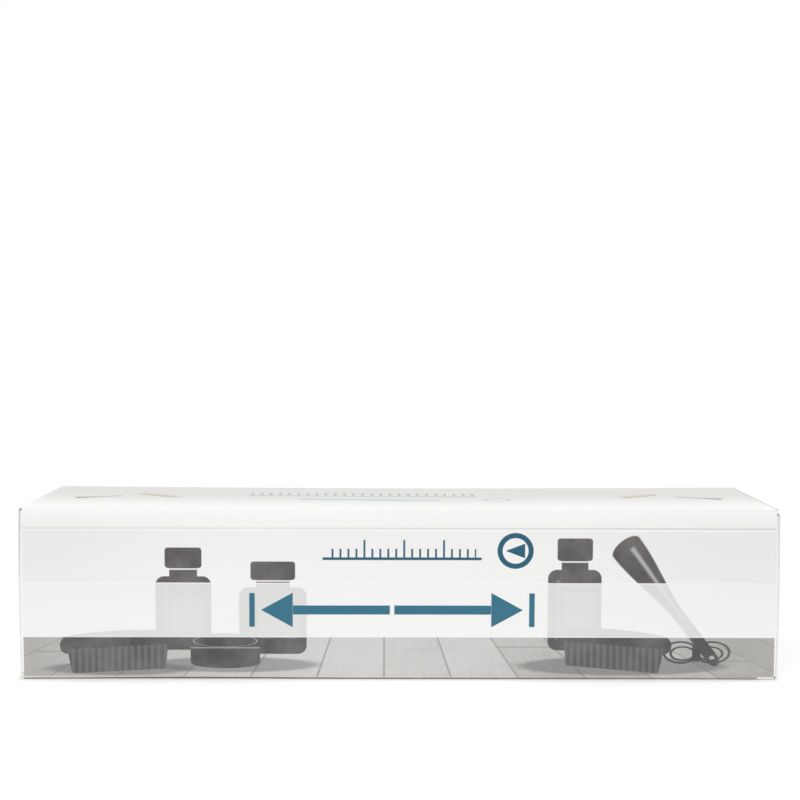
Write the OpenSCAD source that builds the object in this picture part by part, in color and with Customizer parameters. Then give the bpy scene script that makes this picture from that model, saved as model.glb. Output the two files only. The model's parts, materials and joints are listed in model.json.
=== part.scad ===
// Boxed shoe stretcher: a closed tuck-end folding carton that holds a beech toe-form stretcher.
// Origin at the bottom centre of the carton. +X runs along the carton towards the stretcher's toe,
// +Y from the front panel to the back panel, +Z up. All sizes are in millimetres.

/* [Carton] */
// Length of the carton's panels, along X
carton_len = 380; // [376:1:384]
// Depth of the carton, front to back
carton_depth = 100; // [99:0.5:104]
// Height of the carton
carton_h = 87; // [85:0.5:90]
// Thickness of the board
board_t = 0.6; // [0.5:0.05:0.7]
// How far an end flap bows out past its creases
flap_bow = 0.8; // [0:0.1:1]
// Length of a tuck flange, from its crease to its free edge
tuck_len = 12; // [9:0.5:12]
// Free height between a tuck flange and the panel that it tucks behind
tuck_gap = 1.4; // [1.4:0.05:1.6]
// Length of a dust flap, from its crease to its free edge
dust_len = 36; // [28:1:36]
// Width of the glue flap
glue_w = 15; // [10:1:18]

/* [Toe form] */
// Length of the wooden form, heel face to toe tip
form_len = 174; // [172:1:178]
// Half of the form's width at the ball of the foot
form_half_w = 35; // [33:0.5:36]
// Height of the form at its heel face
form_h = 55; // [52:1:58]
// Gap between the sole and the carton's bottom
sole_z = 2; // [1.5:0.1:3]
// Half of the slit between the two halves when they are closed
slit_half = 0.6; // [0.4:0.1:0.8]

/* [Spindle] */
// Radius of the spindle
spindle_r = 4; // [3.5:0.25:4.25]
// Height of the spindle's axis above the ground
spindle_z = 30; // [28:0.5:31]
// Radius of the round knob
knob_r = 13; // [11:0.5:13]
// Travel of the wedge along the thread
wedge_travel = 20; // [16:1:20]

/* [Bunion plugs] */
// Radius of a plug's head
plug_r = 10; // [8:0.5:11]
// Height of a plug's head
plug_h = 6.5; // [4:0.5:7]
// Radius of a plug's stem and of the holes that take it
plug_stem_r = 3; // [2.5:0.25:3.5]

/* [Hidden] */
$fn = 64;
past = 1; // how far a cutter runs past the face that it opens

// Carton, worked out from the driving sizes
half_len = carton_len / 2;
half_depth = carton_depth / 2;
flap_gap = 0.3; // between the dust flaps and the main flap in front of them
crease_gap = 0.05; // between two boards that turn on one crease
crease_x = half_len + flap_gap + board_t; // outer face of a main flap at its crease
flap_len = carton_h - board_t - tuck_gap; // crease of a main flap to the crease of its flange
flap_half_w = half_depth - board_t;
flange_half_w = flap_half_w - 3;
flange_corner = 7;
dust_low = board_t + tuck_gap + board_t + 0.8; // clears the flange that passes under it
dust_slope_left = 0.55; // bevel of the left dust flaps, by which they clear the main flap
dust_slope_right = 0.85;
dust_bevel_start = 1.5;

// Toe form, along X from its heel face
heel_x = 10;
toe_x = heel_x + form_len;
toe_round = 34; // length of the stretch that rounds off into the toe
heel_round = 3;
// distance from the heel face, share of the half width, lift of the sole, share of the height
STATIONS = [
    [0, 0.66, 1, 1.00],
    [30, 0.71, 0.5, 1.02],
    [60, 0.82, 0, 0.93],
    [90, 0.95, 0, 0.78],
    [112, 1.00, 0, 0.67],
    [135, 0.97, 0.4, 0.59],
    [155, 0.90, 1.6, 0.55],
    [174, 0.80, 3.5, 0.53]];
ring_n = 40;
station_n = 40;
heel_rings = 4; // of the stations, those on the heel's rounded edge
wide_share = 0.40; // height of the widest line, as a share of the section
toe_lift = 7; // how far the sole rises at the very tip
toe_drop = 11; // how far the top comes down at the very tip
TOP_POWERS = [0.75, 0.85]; // fullness of a section above its widest line, across and up
SOLE_POWERS = [0.55, 0.6];

// Hinge at the toe
pin_x = toe_x - 8;
pin_r = 1.5;
pin_fit = 0.03;
pin_proud = 0.4; // how far the pin stands out of the leaves
barrel_r = 3.2;
barrel_gap = 0.7;
bar_low = 12.5;
bar_h = 5;
bar_half_t = 2;
bar_gap = 0.5; // between the bar and the groove that it lies in
leaf_gap = 0.3;
leaf_h = 5;
leaf_t = 1.4;
leaf_len = 42;
leaf_y = slit_half + 0.3;
leaf_low_z = bar_low - leaf_gap - leaf_h;
leaf_high_z = bar_low + bar_h + leaf_gap;
leaf_start_x = pin_x - barrel_r - leaf_len;
screw_r = 1.5;
screw_head_r = 2.4;
leaf_screw_len = 12;
LEAF_SCREWS = [16, 30]; // from the start of a leaf

// Spindle and knob
knob_x = -148;
knob_neck_x = knob_x + knob_r - 1;
ferrule_len = 7;
ferrule_r = 7;
socket_depth = 15;
rod_start_x = knob_neck_x - socket_depth;
rod_end_x = 96;
cross_pin_r = 1.25;
housing_x = -14;
housing_len = 22;
housing_r = 14;
spindle_fit = 0.05;
collar_len = 4;
collar_r = 7.5;
collar_gap = 0.3;
grub_r = 1.5;

// Wedge and the pads that it pushes
wedge_x = 50.6;
wedge_half_len = 13;
wedge_tip_half = 5.5;
wedge_slope = 0.45;
wedge_low = 14.5;
wedge_high = 39;
pad_x = 62;
pad_y = 8.87;
pad_nose_r = 3;
pad_low = 22;
pad_high = 38;
pad_depth = 3.2;
pad_half_len = 6;
pad_screw_len = 11;
pad_screw_sunk = 1.2;
pad_screw_inset = 4; // from the pad's ends

// Pocket in the halves, seen from above
pocket_low = 12;
pocket_high = 40.5;
pocket_heel_y = 16.5;
pocket_toe_y = 6.8;
pocket_end_x = 98;
POCKET = [[heel_x - past, -past], [heel_x - past, pocket_heel_y], [44, pocket_heel_y],
    [66, pocket_toe_y], [pocket_end_x, pocket_toe_y], [pocket_end_x, -past]];

// Return spring between the halves
spring_x = 26;
spring_z = 46.5;
spring_r = 3.2;
wire_r = 0.6;
spring_curls = 9;
spring_pitch = 2;
curl_rings = 8;
wire_sides = 6;
spring_bore_r = 4.6;
spring_bore_y = 14.5;
anchor_y = 12.5;
anchor_r = 1.25;
anchor_sunk = 4.6; // below the top of the form at its middle
anchor_hole_len = 40;
spring_end_y = anchor_y - anchor_r - 0.3;

// Bunion plugs and the spare holes that take them
plug_x = 122;
plug_z = 20;
plug_seat_y = form_half_w - 0.9;
plug_stem_len = 11;
plug_hole_len = 30;
plug_clear = 0.3; // around a plug's head
SPARE_HOLES = [[102, 22], [142, 17]];
spare_hole_depth = 12;

card_colour = "#f2f2f0";
steel_colour = "#b9bcc0";
beech_colour = "#dcb482";
dark_colour = "#2b2a2a";

// Smooth value at x of one column of the stations
function seg(x, i = 0) = i >= len(STATIONS) - 2 || x < STATIONS[i + 1][0] ? i : seg(x, i + 1);
function knot(i, c) = STATIONS[max(0, min(len(STATIONS) - 1, i))][c];
function slope(i, c) = (knot(i + 1, c) - knot(i - 1, c)) / (knot(i + 1, 0) - knot(i - 1, 0));
function along(x, c) =
    let (i = seg(x), x0 = knot(i, 0), d = knot(i + 1, 0) - x0, t = (x - x0) / d)
    (2 * t ^ 3 - 3 * t ^ 2 + 1) * knot(i, c) + (t ^ 3 - 2 * t ^ 2 + t) * d * slope(i, c)
    + (3 * t ^ 2 - 2 * t ^ 3) * knot(i + 1, c) + (t ^ 3 - t ^ 2) * d * slope(i + 1, c);
function toe_fall(x) = max(0, (x - (form_len - toe_round)) / toe_round);
function heel_inset(x) = x >= heel_round ? 0 : heel_round * (1 - sqrt(1 - (1 - x / heel_round) ^ 2));
function half_width(x) = form_half_w * along(x, 1) * sqrt(max(0.0004, 1 - toe_fall(x) ^ 2.2)) - heel_inset(x);
function low_z(x) = sole_z + along(x, 2) + heel_inset(x) + toe_lift * (1 - sqrt(max(0, 1 - toe_fall(x) ^ 5)));
function high_z(x) = sole_z + form_h * along(x, 3) - heel_inset(x)
    - toe_drop * (1 - sqrt(max(0, 1 - toe_fall(x) ^ 3.5)));
function sgn_pow(v, e) = sign(v) * abs(v) ^ e;
function ring_point(x, a) =
    let (low = low_z(x), high = high_z(x), wide = low + wide_share * (high - low), up = sin(a) >= 0,
        powers = up ? TOP_POWERS : SOLE_POWERS)
    [heel_x + x,
     half_width(x) * sgn_pow(cos(a), powers[0]),
     wide + (up ? high - wide : wide - low) * sgn_pow(sin(a), powers[1])];
function station_x(i) =
    i < heel_rings ? heel_round * (1 - cos(90 * i / heel_rings))
    : heel_round + (form_len - heel_round) * sin(90 * (i - heel_rings) / (station_n - heel_rings));

// Points of a tube swept along a helix that runs along Y, with straight ends
function helix_path() = concat(
    [[spring_r, -spring_end_y, 0]],
    [for (i = [0:spring_curls * curl_rings])
        let (a = 360 * i / curl_rings, y = (i / curl_rings - spring_curls / 2) * spring_pitch)
        [spring_r * cos(a), y, spring_r * sin(a)]],
    [[spring_r, spring_end_y, 0]]);
function unit(v) = v / norm(v);
function tangent(p, i) = unit(p[min(i + 1, len(p) - 1)] - p[max(i - 1, 0)]);
function tube_ring(p, i) =
    let (t = tangent(p, i), out = unit(cross(t, [0, 1, 0.001])), up = cross(out, t))
    [for (k = [0:wire_sides - 1]) p[i] + wire_r * (cos(360 * k / wire_sides) * out + sin(360 * k / wire_sides) * up)];
// least distance between points of the wire that are at least half a curl apart
spring_path = helix_path();
spring_least = min([for (i = [1:len(spring_path) - 2]) for (j = [i + curl_rings / 2:1:len(spring_path) - 2])
    norm(spring_path[i] - spring_path[j])]) - 2 * wire_r;
echo(spring_least_gap_mm = spring_least);

module at_front_and_back(side) {
    if (side < 0) children();
    else mirror([0, 1, 0]) children();
}

module at_end(side) {
    if (side > 0) children();
    else mirror([1, 0, 0]) children();
}

// Fold a shape drawn for the right half (y below 0) over to the left half
module for_half(side) {
    if (side > 0) children();
    else mirror([0, 1, 0]) children();
}

module side_panel(side) {
    color(card_colour)
        at_front_and_back(side)
            translate([-half_len, 0, 0])
                rotate([90, 0, 90])
                    linear_extrude(carton_len)
                        difference() {
                            translate([-half_depth, 0]) square([board_t, carton_h]);
                            for (z = [0, carton_h])
                                translate([-half_depth, z]) rotate(45) square(board_t * 0.5, center = true);
                        }
}

module flat_panel(z) {
    color(card_colour)
        translate([-half_len, -half_depth + board_t, z])
            cube([carton_len, carton_depth - 2 * board_t, board_t]);
}

module front_panel() side_panel(-1);
module back_panel() side_panel(1);
module top_panel() flat_panel(carton_h - board_t);
module bottom_panel() flat_panel(0);

module glue_flap() {
    color(card_colour)
        translate([-half_len + 4, half_depth - 2 * board_t, board_t])
            cube([carton_len - 8, board_t, glue_w]);
}

// Main flap drawn with its crease at the bottom of the right end
function bow(z) = flap_bow * sin(180 * (z / flap_len) ^ 0.9);
module main_flap_up() {
    steps = 18;
    outer = [for (i = [0:steps]) let (z = flap_len * i / steps) [crease_x + bow(z), z]];
    inner = [for (i = [steps:-1:0]) let (z = flap_len * i / steps) [crease_x + bow(z) - board_t, z]];
    translate([0, flap_half_w, 0])
        rotate([90, 0, 0])
            linear_extrude(2 * flap_half_w)
                polygon(concat(outer, inner));
}

module tuck_flange_up() {
    x_in = crease_x - board_t - crease_gap;
    translate([0, 0, flap_len - board_t])
        linear_extrude(board_t)
            difference() {
                translate([x_in - tuck_len, -flange_half_w]) square([tuck_len, 2 * flange_half_w]);
                for (s = [-1, 1])
                    translate([x_in - tuck_len, s * flange_half_w])
                        difference() {
                            square(2 * flange_corner, center = true);
                            translate([flange_corner, -s * flange_corner]) circle(flange_corner);
                        }
            }
}

// Dust flap of the right front corner, drawn for a main flap whose crease is at the bottom
module dust_flap_up(bevel) {
    y0 = -half_depth + board_t + crease_gap;
    corner = 6;
    translate([half_len - board_t, 0, 0])
        rotate([90, 0, 90])
            linear_extrude(board_t)
                polygon([
                    [y0, dust_bevel_start],
                    [y0 + dust_len, dust_bevel_start + bevel * dust_len],
                    [y0 + dust_len, carton_h - dust_low - corner],
                    [y0 + dust_len - corner, carton_h - dust_low],
                    [y0, carton_h - dust_low]]);
}

// Turn an end that is drawn with its crease at the bottom into one with its crease at the top
module crease_on_top() {
    translate([0, 0, carton_h]) mirror([0, 0, 1]) children();
}

module left_main_flap() color(card_colour) at_end(-1) crease_on_top() main_flap_up();
module left_tuck_flange() color(card_colour) at_end(-1) crease_on_top() tuck_flange_up();
module left_dust_flap(side) {
    color(card_colour) at_front_and_back(side) at_end(-1) crease_on_top() dust_flap_up(dust_slope_left);
}
module left_front_dust_flap() left_dust_flap(-1);
module left_back_dust_flap() left_dust_flap(1);

module right_main_flap() color(card_colour) main_flap_up();
module right_tuck_flange() color(card_colour) tuck_flange_up();
module right_dust_flap(side) {
    color(card_colour) at_front_and_back(side) dust_flap_up(dust_slope_right);
}
module right_front_dust_flap() right_dust_flap(-1);
module right_back_dust_flap() right_dust_flap(1);

// Cylinder along X, from x, on the spindle's axis
module on_spindle(x, length, r) {
    translate([x, 0, spindle_z]) rotate([0, 90, 0]) cylinder(h = length, r = r);
}

foot_half_w = 7;
foot_low = 10;
foot_inset = 2;
bar_start_x = housing_x + 3;
BAR_SCREWS_X = [housing_x + 6, housing_x + 16];
bar_head_t = 1.2;
bar_head_depth = 1.5; // of the recesses that take the screws' heads

module bar_screw_places(r, length) {
    for (x = BAR_SCREWS_X)
        translate([x, 0, bar_low + bar_h / 2]) rotate([90, 0, 0]) cylinder(h = length, r = r, center = true);
}

// The heads' places on the back, each from y to its outer end
module bar_head_places(y, length) {
    for (x = BAR_SCREWS_X)
        translate([x, y, bar_low + bar_h / 2]) rotate([-90, 0, 0]) cylinder(h = length, r = screw_head_r);
}

module bearing_housing() {
    color(dark_colour)
        difference() {
            union() {
                on_spindle(housing_x, housing_len, housing_r);
                translate([housing_x + foot_inset, -foot_half_w, foot_low])
                    cube([housing_len - foot_inset, 2 * foot_half_w, spindle_z - foot_low]);
            }
            on_spindle(housing_x - past, housing_len + 2 * past, spindle_r + spindle_fit);
            translate([bar_start_x, -bar_half_t, bar_low]) cube([housing_len, 2 * bar_half_t, bar_h]);
            bar_screw_places(screw_r, 3 * foot_half_w);
            for (side = [-1, 1]) for_half(side) bar_head_places(foot_half_w - bar_head_depth, bar_head_depth + past);
        }
}

module centre_bar() {
    color(steel_colour)
        difference() {
            union() {
                translate([bar_start_x, -bar_half_t, bar_low])
                    cube([pin_x - bar_start_x, 2 * bar_half_t, bar_h]);
                translate([pin_x, 0, bar_low]) cylinder(h = bar_h, r = barrel_r);
            }
            translate([pin_x, 0, bar_low - past]) cylinder(h = bar_h + 2 * past, r = pin_r);
            bar_screw_places(screw_r, 3 * foot_half_w);
        }
}

module bar_screws() {
    color(steel_colour) {
        bar_screw_places(screw_r, 2 * (foot_half_w - bar_head_depth));
        for (side = [-1, 1])
            for_half(side) bar_head_places(foot_half_w - bar_head_depth, bar_head_t);
    }
}

module toe_hinge_pin() {
    color(steel_colour)
        translate([pin_x, 0, leaf_low_z - pin_proud])
            cylinder(h = leaf_high_z + leaf_h - leaf_low_z + 2 * pin_proud, r = pin_r);
}

module return_spring() {
    rings = len(spring_path);
    points = concat([for (i = [0:rings - 1]) each tube_ring(spring_path, i)]);
    side_faces = [for (i = [0:rings - 2]) for (k = [0:wire_sides - 1])
        let (a = i * wire_sides + k, b = i * wire_sides + (k + 1) % wire_sides)
        each [[a, b, b + wire_sides], [a, b + wire_sides, a + wire_sides]]];
    start = [[for (k = [wire_sides - 1:-1:0]) k]];
    end = [[for (k = [0:wire_sides - 1]) (rings - 1) * wire_sides + k]];
    color(steel_colour)
        translate([spring_x, 0, spring_z])
            polyhedron(points, concat(side_faces, start, end), convexity = 10);
}

module knob_pin_place(length) {
    translate([knob_neck_x + ferrule_len / 2, 0, spindle_z]) cylinder(h = length, r = cross_pin_r, center = true);
}

module spindle_rod() {
    color(steel_colour)
        difference() {
            union() {
                on_spindle(rod_start_x, rod_end_x - rod_start_x - 1, spindle_r);
                translate([rod_end_x - 1, 0, spindle_z]) rotate([0, 90, 0]) cylinder(h = 1, r1 = spindle_r, r2 = spindle_r - 1);
            }
            knob_pin_place(3 * ferrule_r);
        }
}

module collar(x, screw_turn) {
    color(steel_colour)
        difference() {
            on_spindle(x, collar_len, collar_r);
            on_spindle(x - past, collar_len + 2 * past, spindle_r);
            translate([x + collar_len / 2, 0, spindle_z]) rotate([screw_turn, 0, 0])
                cylinder(h = collar_r + past, r = grub_r);
        }
}

inner_collar_x = housing_x + housing_len + collar_gap;
outer_collar_x = housing_x - collar_gap - collar_len;
module inner_collar() collar(inner_collar_x, 90);
module outer_collar() collar(outer_collar_x, 90);

module collar_screws() {
    color(dark_colour)
        for (x = [inner_collar_x, outer_collar_x])
            translate([x + collar_len / 2, 0, spindle_z]) rotate([90, 0, 0])
                translate([0, 0, spindle_r]) cylinder(h = collar_r - spindle_r - 0.4, r = grub_r);
}

module knob() {
    neck_r = 6.2;
    color(dark_colour)
        difference() {
            translate([knob_x, 0, spindle_z])
                rotate([0, 90, 0])
                    rotate_extrude()
                        intersection() {
                            union() {
                                circle(knob_r);
                                square([neck_r, knob_r - 1]);
                            }
                            translate([0, -knob_r]) square([knob_r, 2 * knob_r - 1]);
                        }
            on_spindle(rod_start_x, socket_depth + past, spindle_r);
        }
}

module knob_ferrule() {
    color("#b08d4a")
        difference() {
            on_spindle(knob_neck_x, ferrule_len, ferrule_r);
            on_spindle(knob_neck_x - past, ferrule_len + 2 * past, spindle_r);
            knob_pin_place(3 * ferrule_r);
        }
}

module knob_pin() color(steel_colour) knob_pin_place(2 * ferrule_r - 0.6);

module spreader_wedge() {
    ramp_x = wedge_half_len - 2;
    ramp_end = ramp_x - wedge_travel;
    wide = wedge_tip_half + wedge_slope * wedge_travel;
    outline = [[wedge_half_len, wedge_tip_half - 1], [ramp_x, wedge_tip_half],
        [ramp_end, wide], [-wedge_half_len, wide]];
    back = [for (i = [len(outline) - 1:-1:0]) [outline[i][0], -outline[i][1]]];
    color(steel_colour)
        difference() {
            intersection() {
                translate([wedge_x, 0, wedge_low])
                    linear_extrude(wedge_high - wedge_low)
                        polygon(concat(outline, back));
                union() {
                    wedge_block(wide + past, bar_low + bar_h + 3, wedge_high);
                    wedge_block(wedge_tip_half, 0, wedge_high);
                }
            }
            on_spindle(wedge_x - wedge_half_len - past, 2 * wedge_half_len + 2 * past, spindle_r + spindle_fit);
            wedge_block(bar_half_t + 0.2, 0, bar_low + bar_h + 0.3);
        }
}

// Block that runs past both ends of the wedge, up to half_w each way and from low to high
module wedge_block(half_w, low, high) {
    translate([wedge_x - wedge_half_len - past, -half_w, low])
        cube([2 * (wedge_half_len + past), 2 * half_w, high - low]);
}

module form_blank() {
    points = [for (i = [0:station_n]) for (k = [0:ring_n - 1])
        ring_point(station_x(i), 360 * (k + 0.5) / ring_n)];
    sides = [for (i = [0:station_n - 1]) for (k = [0:ring_n - 1])
        let (a = i * ring_n + k, b = i * ring_n + (k + 1) % ring_n)
        each [[a, b, b + ring_n], [a, b + ring_n, a + ring_n]]];
    heel = [[for (k = [ring_n - 1:-1:0]) k]];
    toe = [[for (k = [0:ring_n - 1]) station_n * ring_n + k]];
    polyhedron(points, concat(sides, heel, toe), convexity = 6);
}

module leaf_screw_places(z, r, from_y, length) {
    for (d = LEAF_SCREWS)
        translate([leaf_start_x + d, from_y, z + leaf_h / 2])
            rotate([-90, 0, 0]) cylinder(h = length, r = r);
}

module pad_screw_places(r, from_y, length) {
    for (z = [pad_low + pad_screw_inset, pad_high - pad_screw_inset])
        translate([pad_x, from_y, z]) rotate([-90, 0, 0]) cylinder(h = length, r = r);
}

anchor_low = spring_z - spring_bore_r - 1.5;
anchor_top = high_z(spring_x - heel_x) - anchor_sunk;
pad_back_y = pad_y + pad_depth;

// The left half, y above 0; the right half is its mirror image but for the height of its hinge leaf
module form_half(leaf_z) {
    difference() {
        intersection() {
            form_blank();
            translate([0, 0, -past])
                linear_extrude(carton_h)
                    polygon([[heel_x - past, slit_half], [pin_x - 4, slit_half],
                        [toe_x + past, slit_half + 1.5], [toe_x + past, 60], [heel_x - past, 60]]);
        }
        translate([0, 0, pocket_low]) linear_extrude(pocket_high - pocket_low) polygon(POCKET);
        translate([pocket_end_x - past, -past, bar_low - bar_gap])
            cube([pin_x - pocket_end_x + past, bar_half_t + bar_gap + past, bar_h + 2 * bar_gap]);
        translate([pin_x, 0, leaf_low_z - 2 * pin_proud])
            cylinder(h = leaf_high_z + leaf_h - leaf_low_z + 4 * pin_proud, r = barrel_r + barrel_gap);
        translate([leaf_start_x, -past, leaf_z]) cube([leaf_len + barrel_r, leaf_y + leaf_t + past, leaf_h]);
        leaf_screw_places(leaf_z, screw_r, leaf_y, leaf_screw_len + past);
        translate([pad_x - pad_half_len, -past, pad_low]) cube([2 * pad_half_len, pad_back_y + past, pad_high - pad_low]);
        pad_screw_places(screw_r, pad_back_y - past, pad_screw_len);
        translate([spring_x, -past, spring_z]) rotate([-90, 0, 0]) cylinder(h = spring_bore_y + past, r = spring_bore_r);
        translate([spring_x, anchor_y, anchor_low]) cylinder(h = anchor_hole_len, r = anchor_r);
        translate([plug_x, plug_seat_y - plug_stem_len, plug_z]) rotate([-90, 0, 0]) cylinder(h = plug_hole_len, r = plug_stem_r);
        translate([plug_x, plug_seat_y, plug_z]) rotate([-90, 0, 0]) cylinder(h = plug_hole_len, r = plug_r + plug_clear);
        for (h = SPARE_HOLES)
            translate([h[0], form_half_w - spare_hole_depth, h[1]])
                rotate([-90, 0, 0]) cylinder(h = plug_hole_len, r = plug_stem_r);
    }
}

module hinge_leaf(leaf_z) {
    color(steel_colour)
        difference() {
            union() {
                translate([leaf_start_x, leaf_y, leaf_z]) cube([leaf_len + barrel_r, leaf_t, leaf_h]);
                translate([pin_x, 0, leaf_z]) cylinder(h = leaf_h, r = barrel_r);
            }
            translate([pin_x, 0, leaf_z - past]) cylinder(h = leaf_h + 2 * past, r = pin_r + pin_fit);
            leaf_screw_places(leaf_z, screw_r, leaf_y - past, leaf_t + 2 * past);
        }
}

module hinge_screws(leaf_z) {
    color(steel_colour) leaf_screw_places(leaf_z, screw_r, leaf_y, leaf_screw_len);
}

module wear_pad() {
    color(steel_colour)
        difference() {
            union() {
                translate([pad_x - pad_half_len, pad_y, pad_low])
                    cube([2 * pad_half_len, pad_depth, pad_high - pad_low]);
                intersection() {
                    translate([pad_x, pad_y, pad_low]) cylinder(h = pad_high - pad_low, r = pad_nose_r);
                    translate([pad_x - 10, pad_y - 10, pad_low]) cube([20, 10 + pad_depth, pad_high]);
                }
            }
            pad_screw_places(screw_r, pad_y - 2 * pad_nose_r, 2 * pad_screw_len);
        }
}

module pad_screws() color(steel_colour) pad_screw_places(screw_r, pad_y - pad_nose_r + pad_screw_sunk, pad_screw_len);

module spring_anchor() {
    color(steel_colour)
        translate([spring_x, anchor_y, anchor_low]) cylinder(h = anchor_top - anchor_low, r = anchor_r);
}

module bunion_plug() {
    cap_r = (plug_r ^ 2 + plug_h ^ 2) / (2 * plug_h);
    color(beech_colour)
        translate([plug_x, plug_seat_y, plug_z])
            rotate([-90, 0, 0])
                union() {
                    translate([0, 0, past - plug_stem_len]) cylinder(h = plug_stem_len, r = plug_stem_r);
                    rotate_extrude()
                        intersection() {
                            translate([0, plug_h - cap_r]) circle(cap_r, $fn = 128);
                            square([plug_r, plug_h]);
                        }
                }
}

module form_half_left() color(beech_colour) for_half(1) form_half(leaf_low_z);
module hinge_leaf_left() for_half(1) hinge_leaf(leaf_low_z);
module hinge_screws_left() for_half(1) hinge_screws(leaf_low_z);
module wear_pad_left() for_half(1) wear_pad();
module pad_screws_left() for_half(1) pad_screws();
module spring_anchor_left() for_half(1) spring_anchor();
module bunion_plug_left() for_half(1) bunion_plug();

module form_half_right() color(beech_colour) for_half(-1) form_half(leaf_high_z);
module hinge_leaf_right() for_half(-1) hinge_leaf(leaf_high_z);
module hinge_screws_right() for_half(-1) hinge_screws(leaf_high_z);
module wear_pad_right() for_half(-1) wear_pad();
module pad_screws_right() for_half(-1) pad_screws();
module spring_anchor_right() for_half(-1) spring_anchor();
module bunion_plug_right() for_half(-1) bunion_plug();

front_panel();
back_panel();
top_panel();
bottom_panel();
glue_flap();
left_main_flap();
left_tuck_flange();
left_front_dust_flap();
left_back_dust_flap();
right_main_flap();
right_tuck_flange();
right_front_dust_flap();
right_back_dust_flap();
bearing_housing();
centre_bar();
bar_screws();
toe_hinge_pin();
return_spring();
spindle_rod();
inner_collar();
outer_collar();
collar_screws();
knob();
knob_ferrule();
knob_pin();
spreader_wedge();
form_half_left();
hinge_leaf_left();
hinge_screws_left();
wear_pad_left();
pad_screws_left();
spring_anchor_left();
bunion_plug_left();
form_half_right();
hinge_leaf_right();
hinge_screws_right();
wear_pad_right();
pad_screws_right();
spring_anchor_right();
bunion_plug_right();
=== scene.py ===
"""Looks of a boxed shoe stretcher: a printed tuck-end carton and the beech toe form that it holds.

Every piece is in metres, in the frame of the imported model: +X towards the stretcher's toe,
+Y from the front panel to the back panel, +Z up, and the origin under the middle of the carton.
The classes give their sizes in millimetres.
"""
import json
import logging
import math
from dataclasses import dataclass, field
from enum import Enum
from typing import Callable, Iterable, Sequence

import bmesh
import bpy
from mathutils import Matrix, Vector

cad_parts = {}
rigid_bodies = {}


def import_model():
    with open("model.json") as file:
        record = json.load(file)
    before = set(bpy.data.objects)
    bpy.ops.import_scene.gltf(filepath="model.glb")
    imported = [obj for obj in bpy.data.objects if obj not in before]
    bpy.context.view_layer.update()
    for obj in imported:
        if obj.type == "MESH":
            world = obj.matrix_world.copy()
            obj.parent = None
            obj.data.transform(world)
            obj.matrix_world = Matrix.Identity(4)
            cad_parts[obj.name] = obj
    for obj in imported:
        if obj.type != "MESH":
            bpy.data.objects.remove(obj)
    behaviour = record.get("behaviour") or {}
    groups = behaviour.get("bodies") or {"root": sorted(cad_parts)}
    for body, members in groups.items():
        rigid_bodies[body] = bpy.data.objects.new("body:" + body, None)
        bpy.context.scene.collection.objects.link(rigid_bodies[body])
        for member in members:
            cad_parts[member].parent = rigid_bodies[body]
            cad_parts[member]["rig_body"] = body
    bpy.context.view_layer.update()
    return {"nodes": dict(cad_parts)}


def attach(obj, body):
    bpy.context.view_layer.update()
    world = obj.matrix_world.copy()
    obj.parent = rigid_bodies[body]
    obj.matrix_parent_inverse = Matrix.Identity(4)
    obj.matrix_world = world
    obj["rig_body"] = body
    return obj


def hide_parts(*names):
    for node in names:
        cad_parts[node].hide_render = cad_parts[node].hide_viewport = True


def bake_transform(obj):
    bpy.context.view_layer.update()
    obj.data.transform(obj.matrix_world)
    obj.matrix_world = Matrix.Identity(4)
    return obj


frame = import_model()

LOG = logging.getLogger("boxed_stretcher")
MM = 0.001

Number = float | int
Pair = tuple[float, float]
Point = tuple[float, float, float]
Shape = bmesh.types.BMesh
Piece = bpy.types.Object
Material = bpy.types.Material
Socket = bpy.types.NodeSocket


# Colours


def channel(level: float) -> float:
    """Turn one display level, 0 to 1, into a linear one."""
    return level / 12.92 if level <= 0.04045 else ((level + 0.055) / 1.055) ** 2.4


def colour(code: str) -> tuple[float, float, float, float]:
    """Turn a display colour such as 'f0f0ee' into linear red, green, blue and alpha."""
    red, green, blue = (channel(int(code[i:i + 2], 16) / 255) for i in (0, 2, 4))
    return red, green, blue, 1.0


# Shader maths


def maths(operation: str, swapped: bool = False) -> Callable[..., "Wire"]:
    """Make a method of Wire that adds a Math node.

    Args:
        operation: what the node works out.
        swapped: whether the wire is the second value, as in 1 - mask.

    Returns:
        The method.
    """

    def method(self: "Wire", *others: "Wire | Number") -> "Wire":
        """Work on this value and the others."""
        values = (*others, self) if swapped else (self, *others)
        return self.work_out(operation, *values)

    return method


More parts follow.
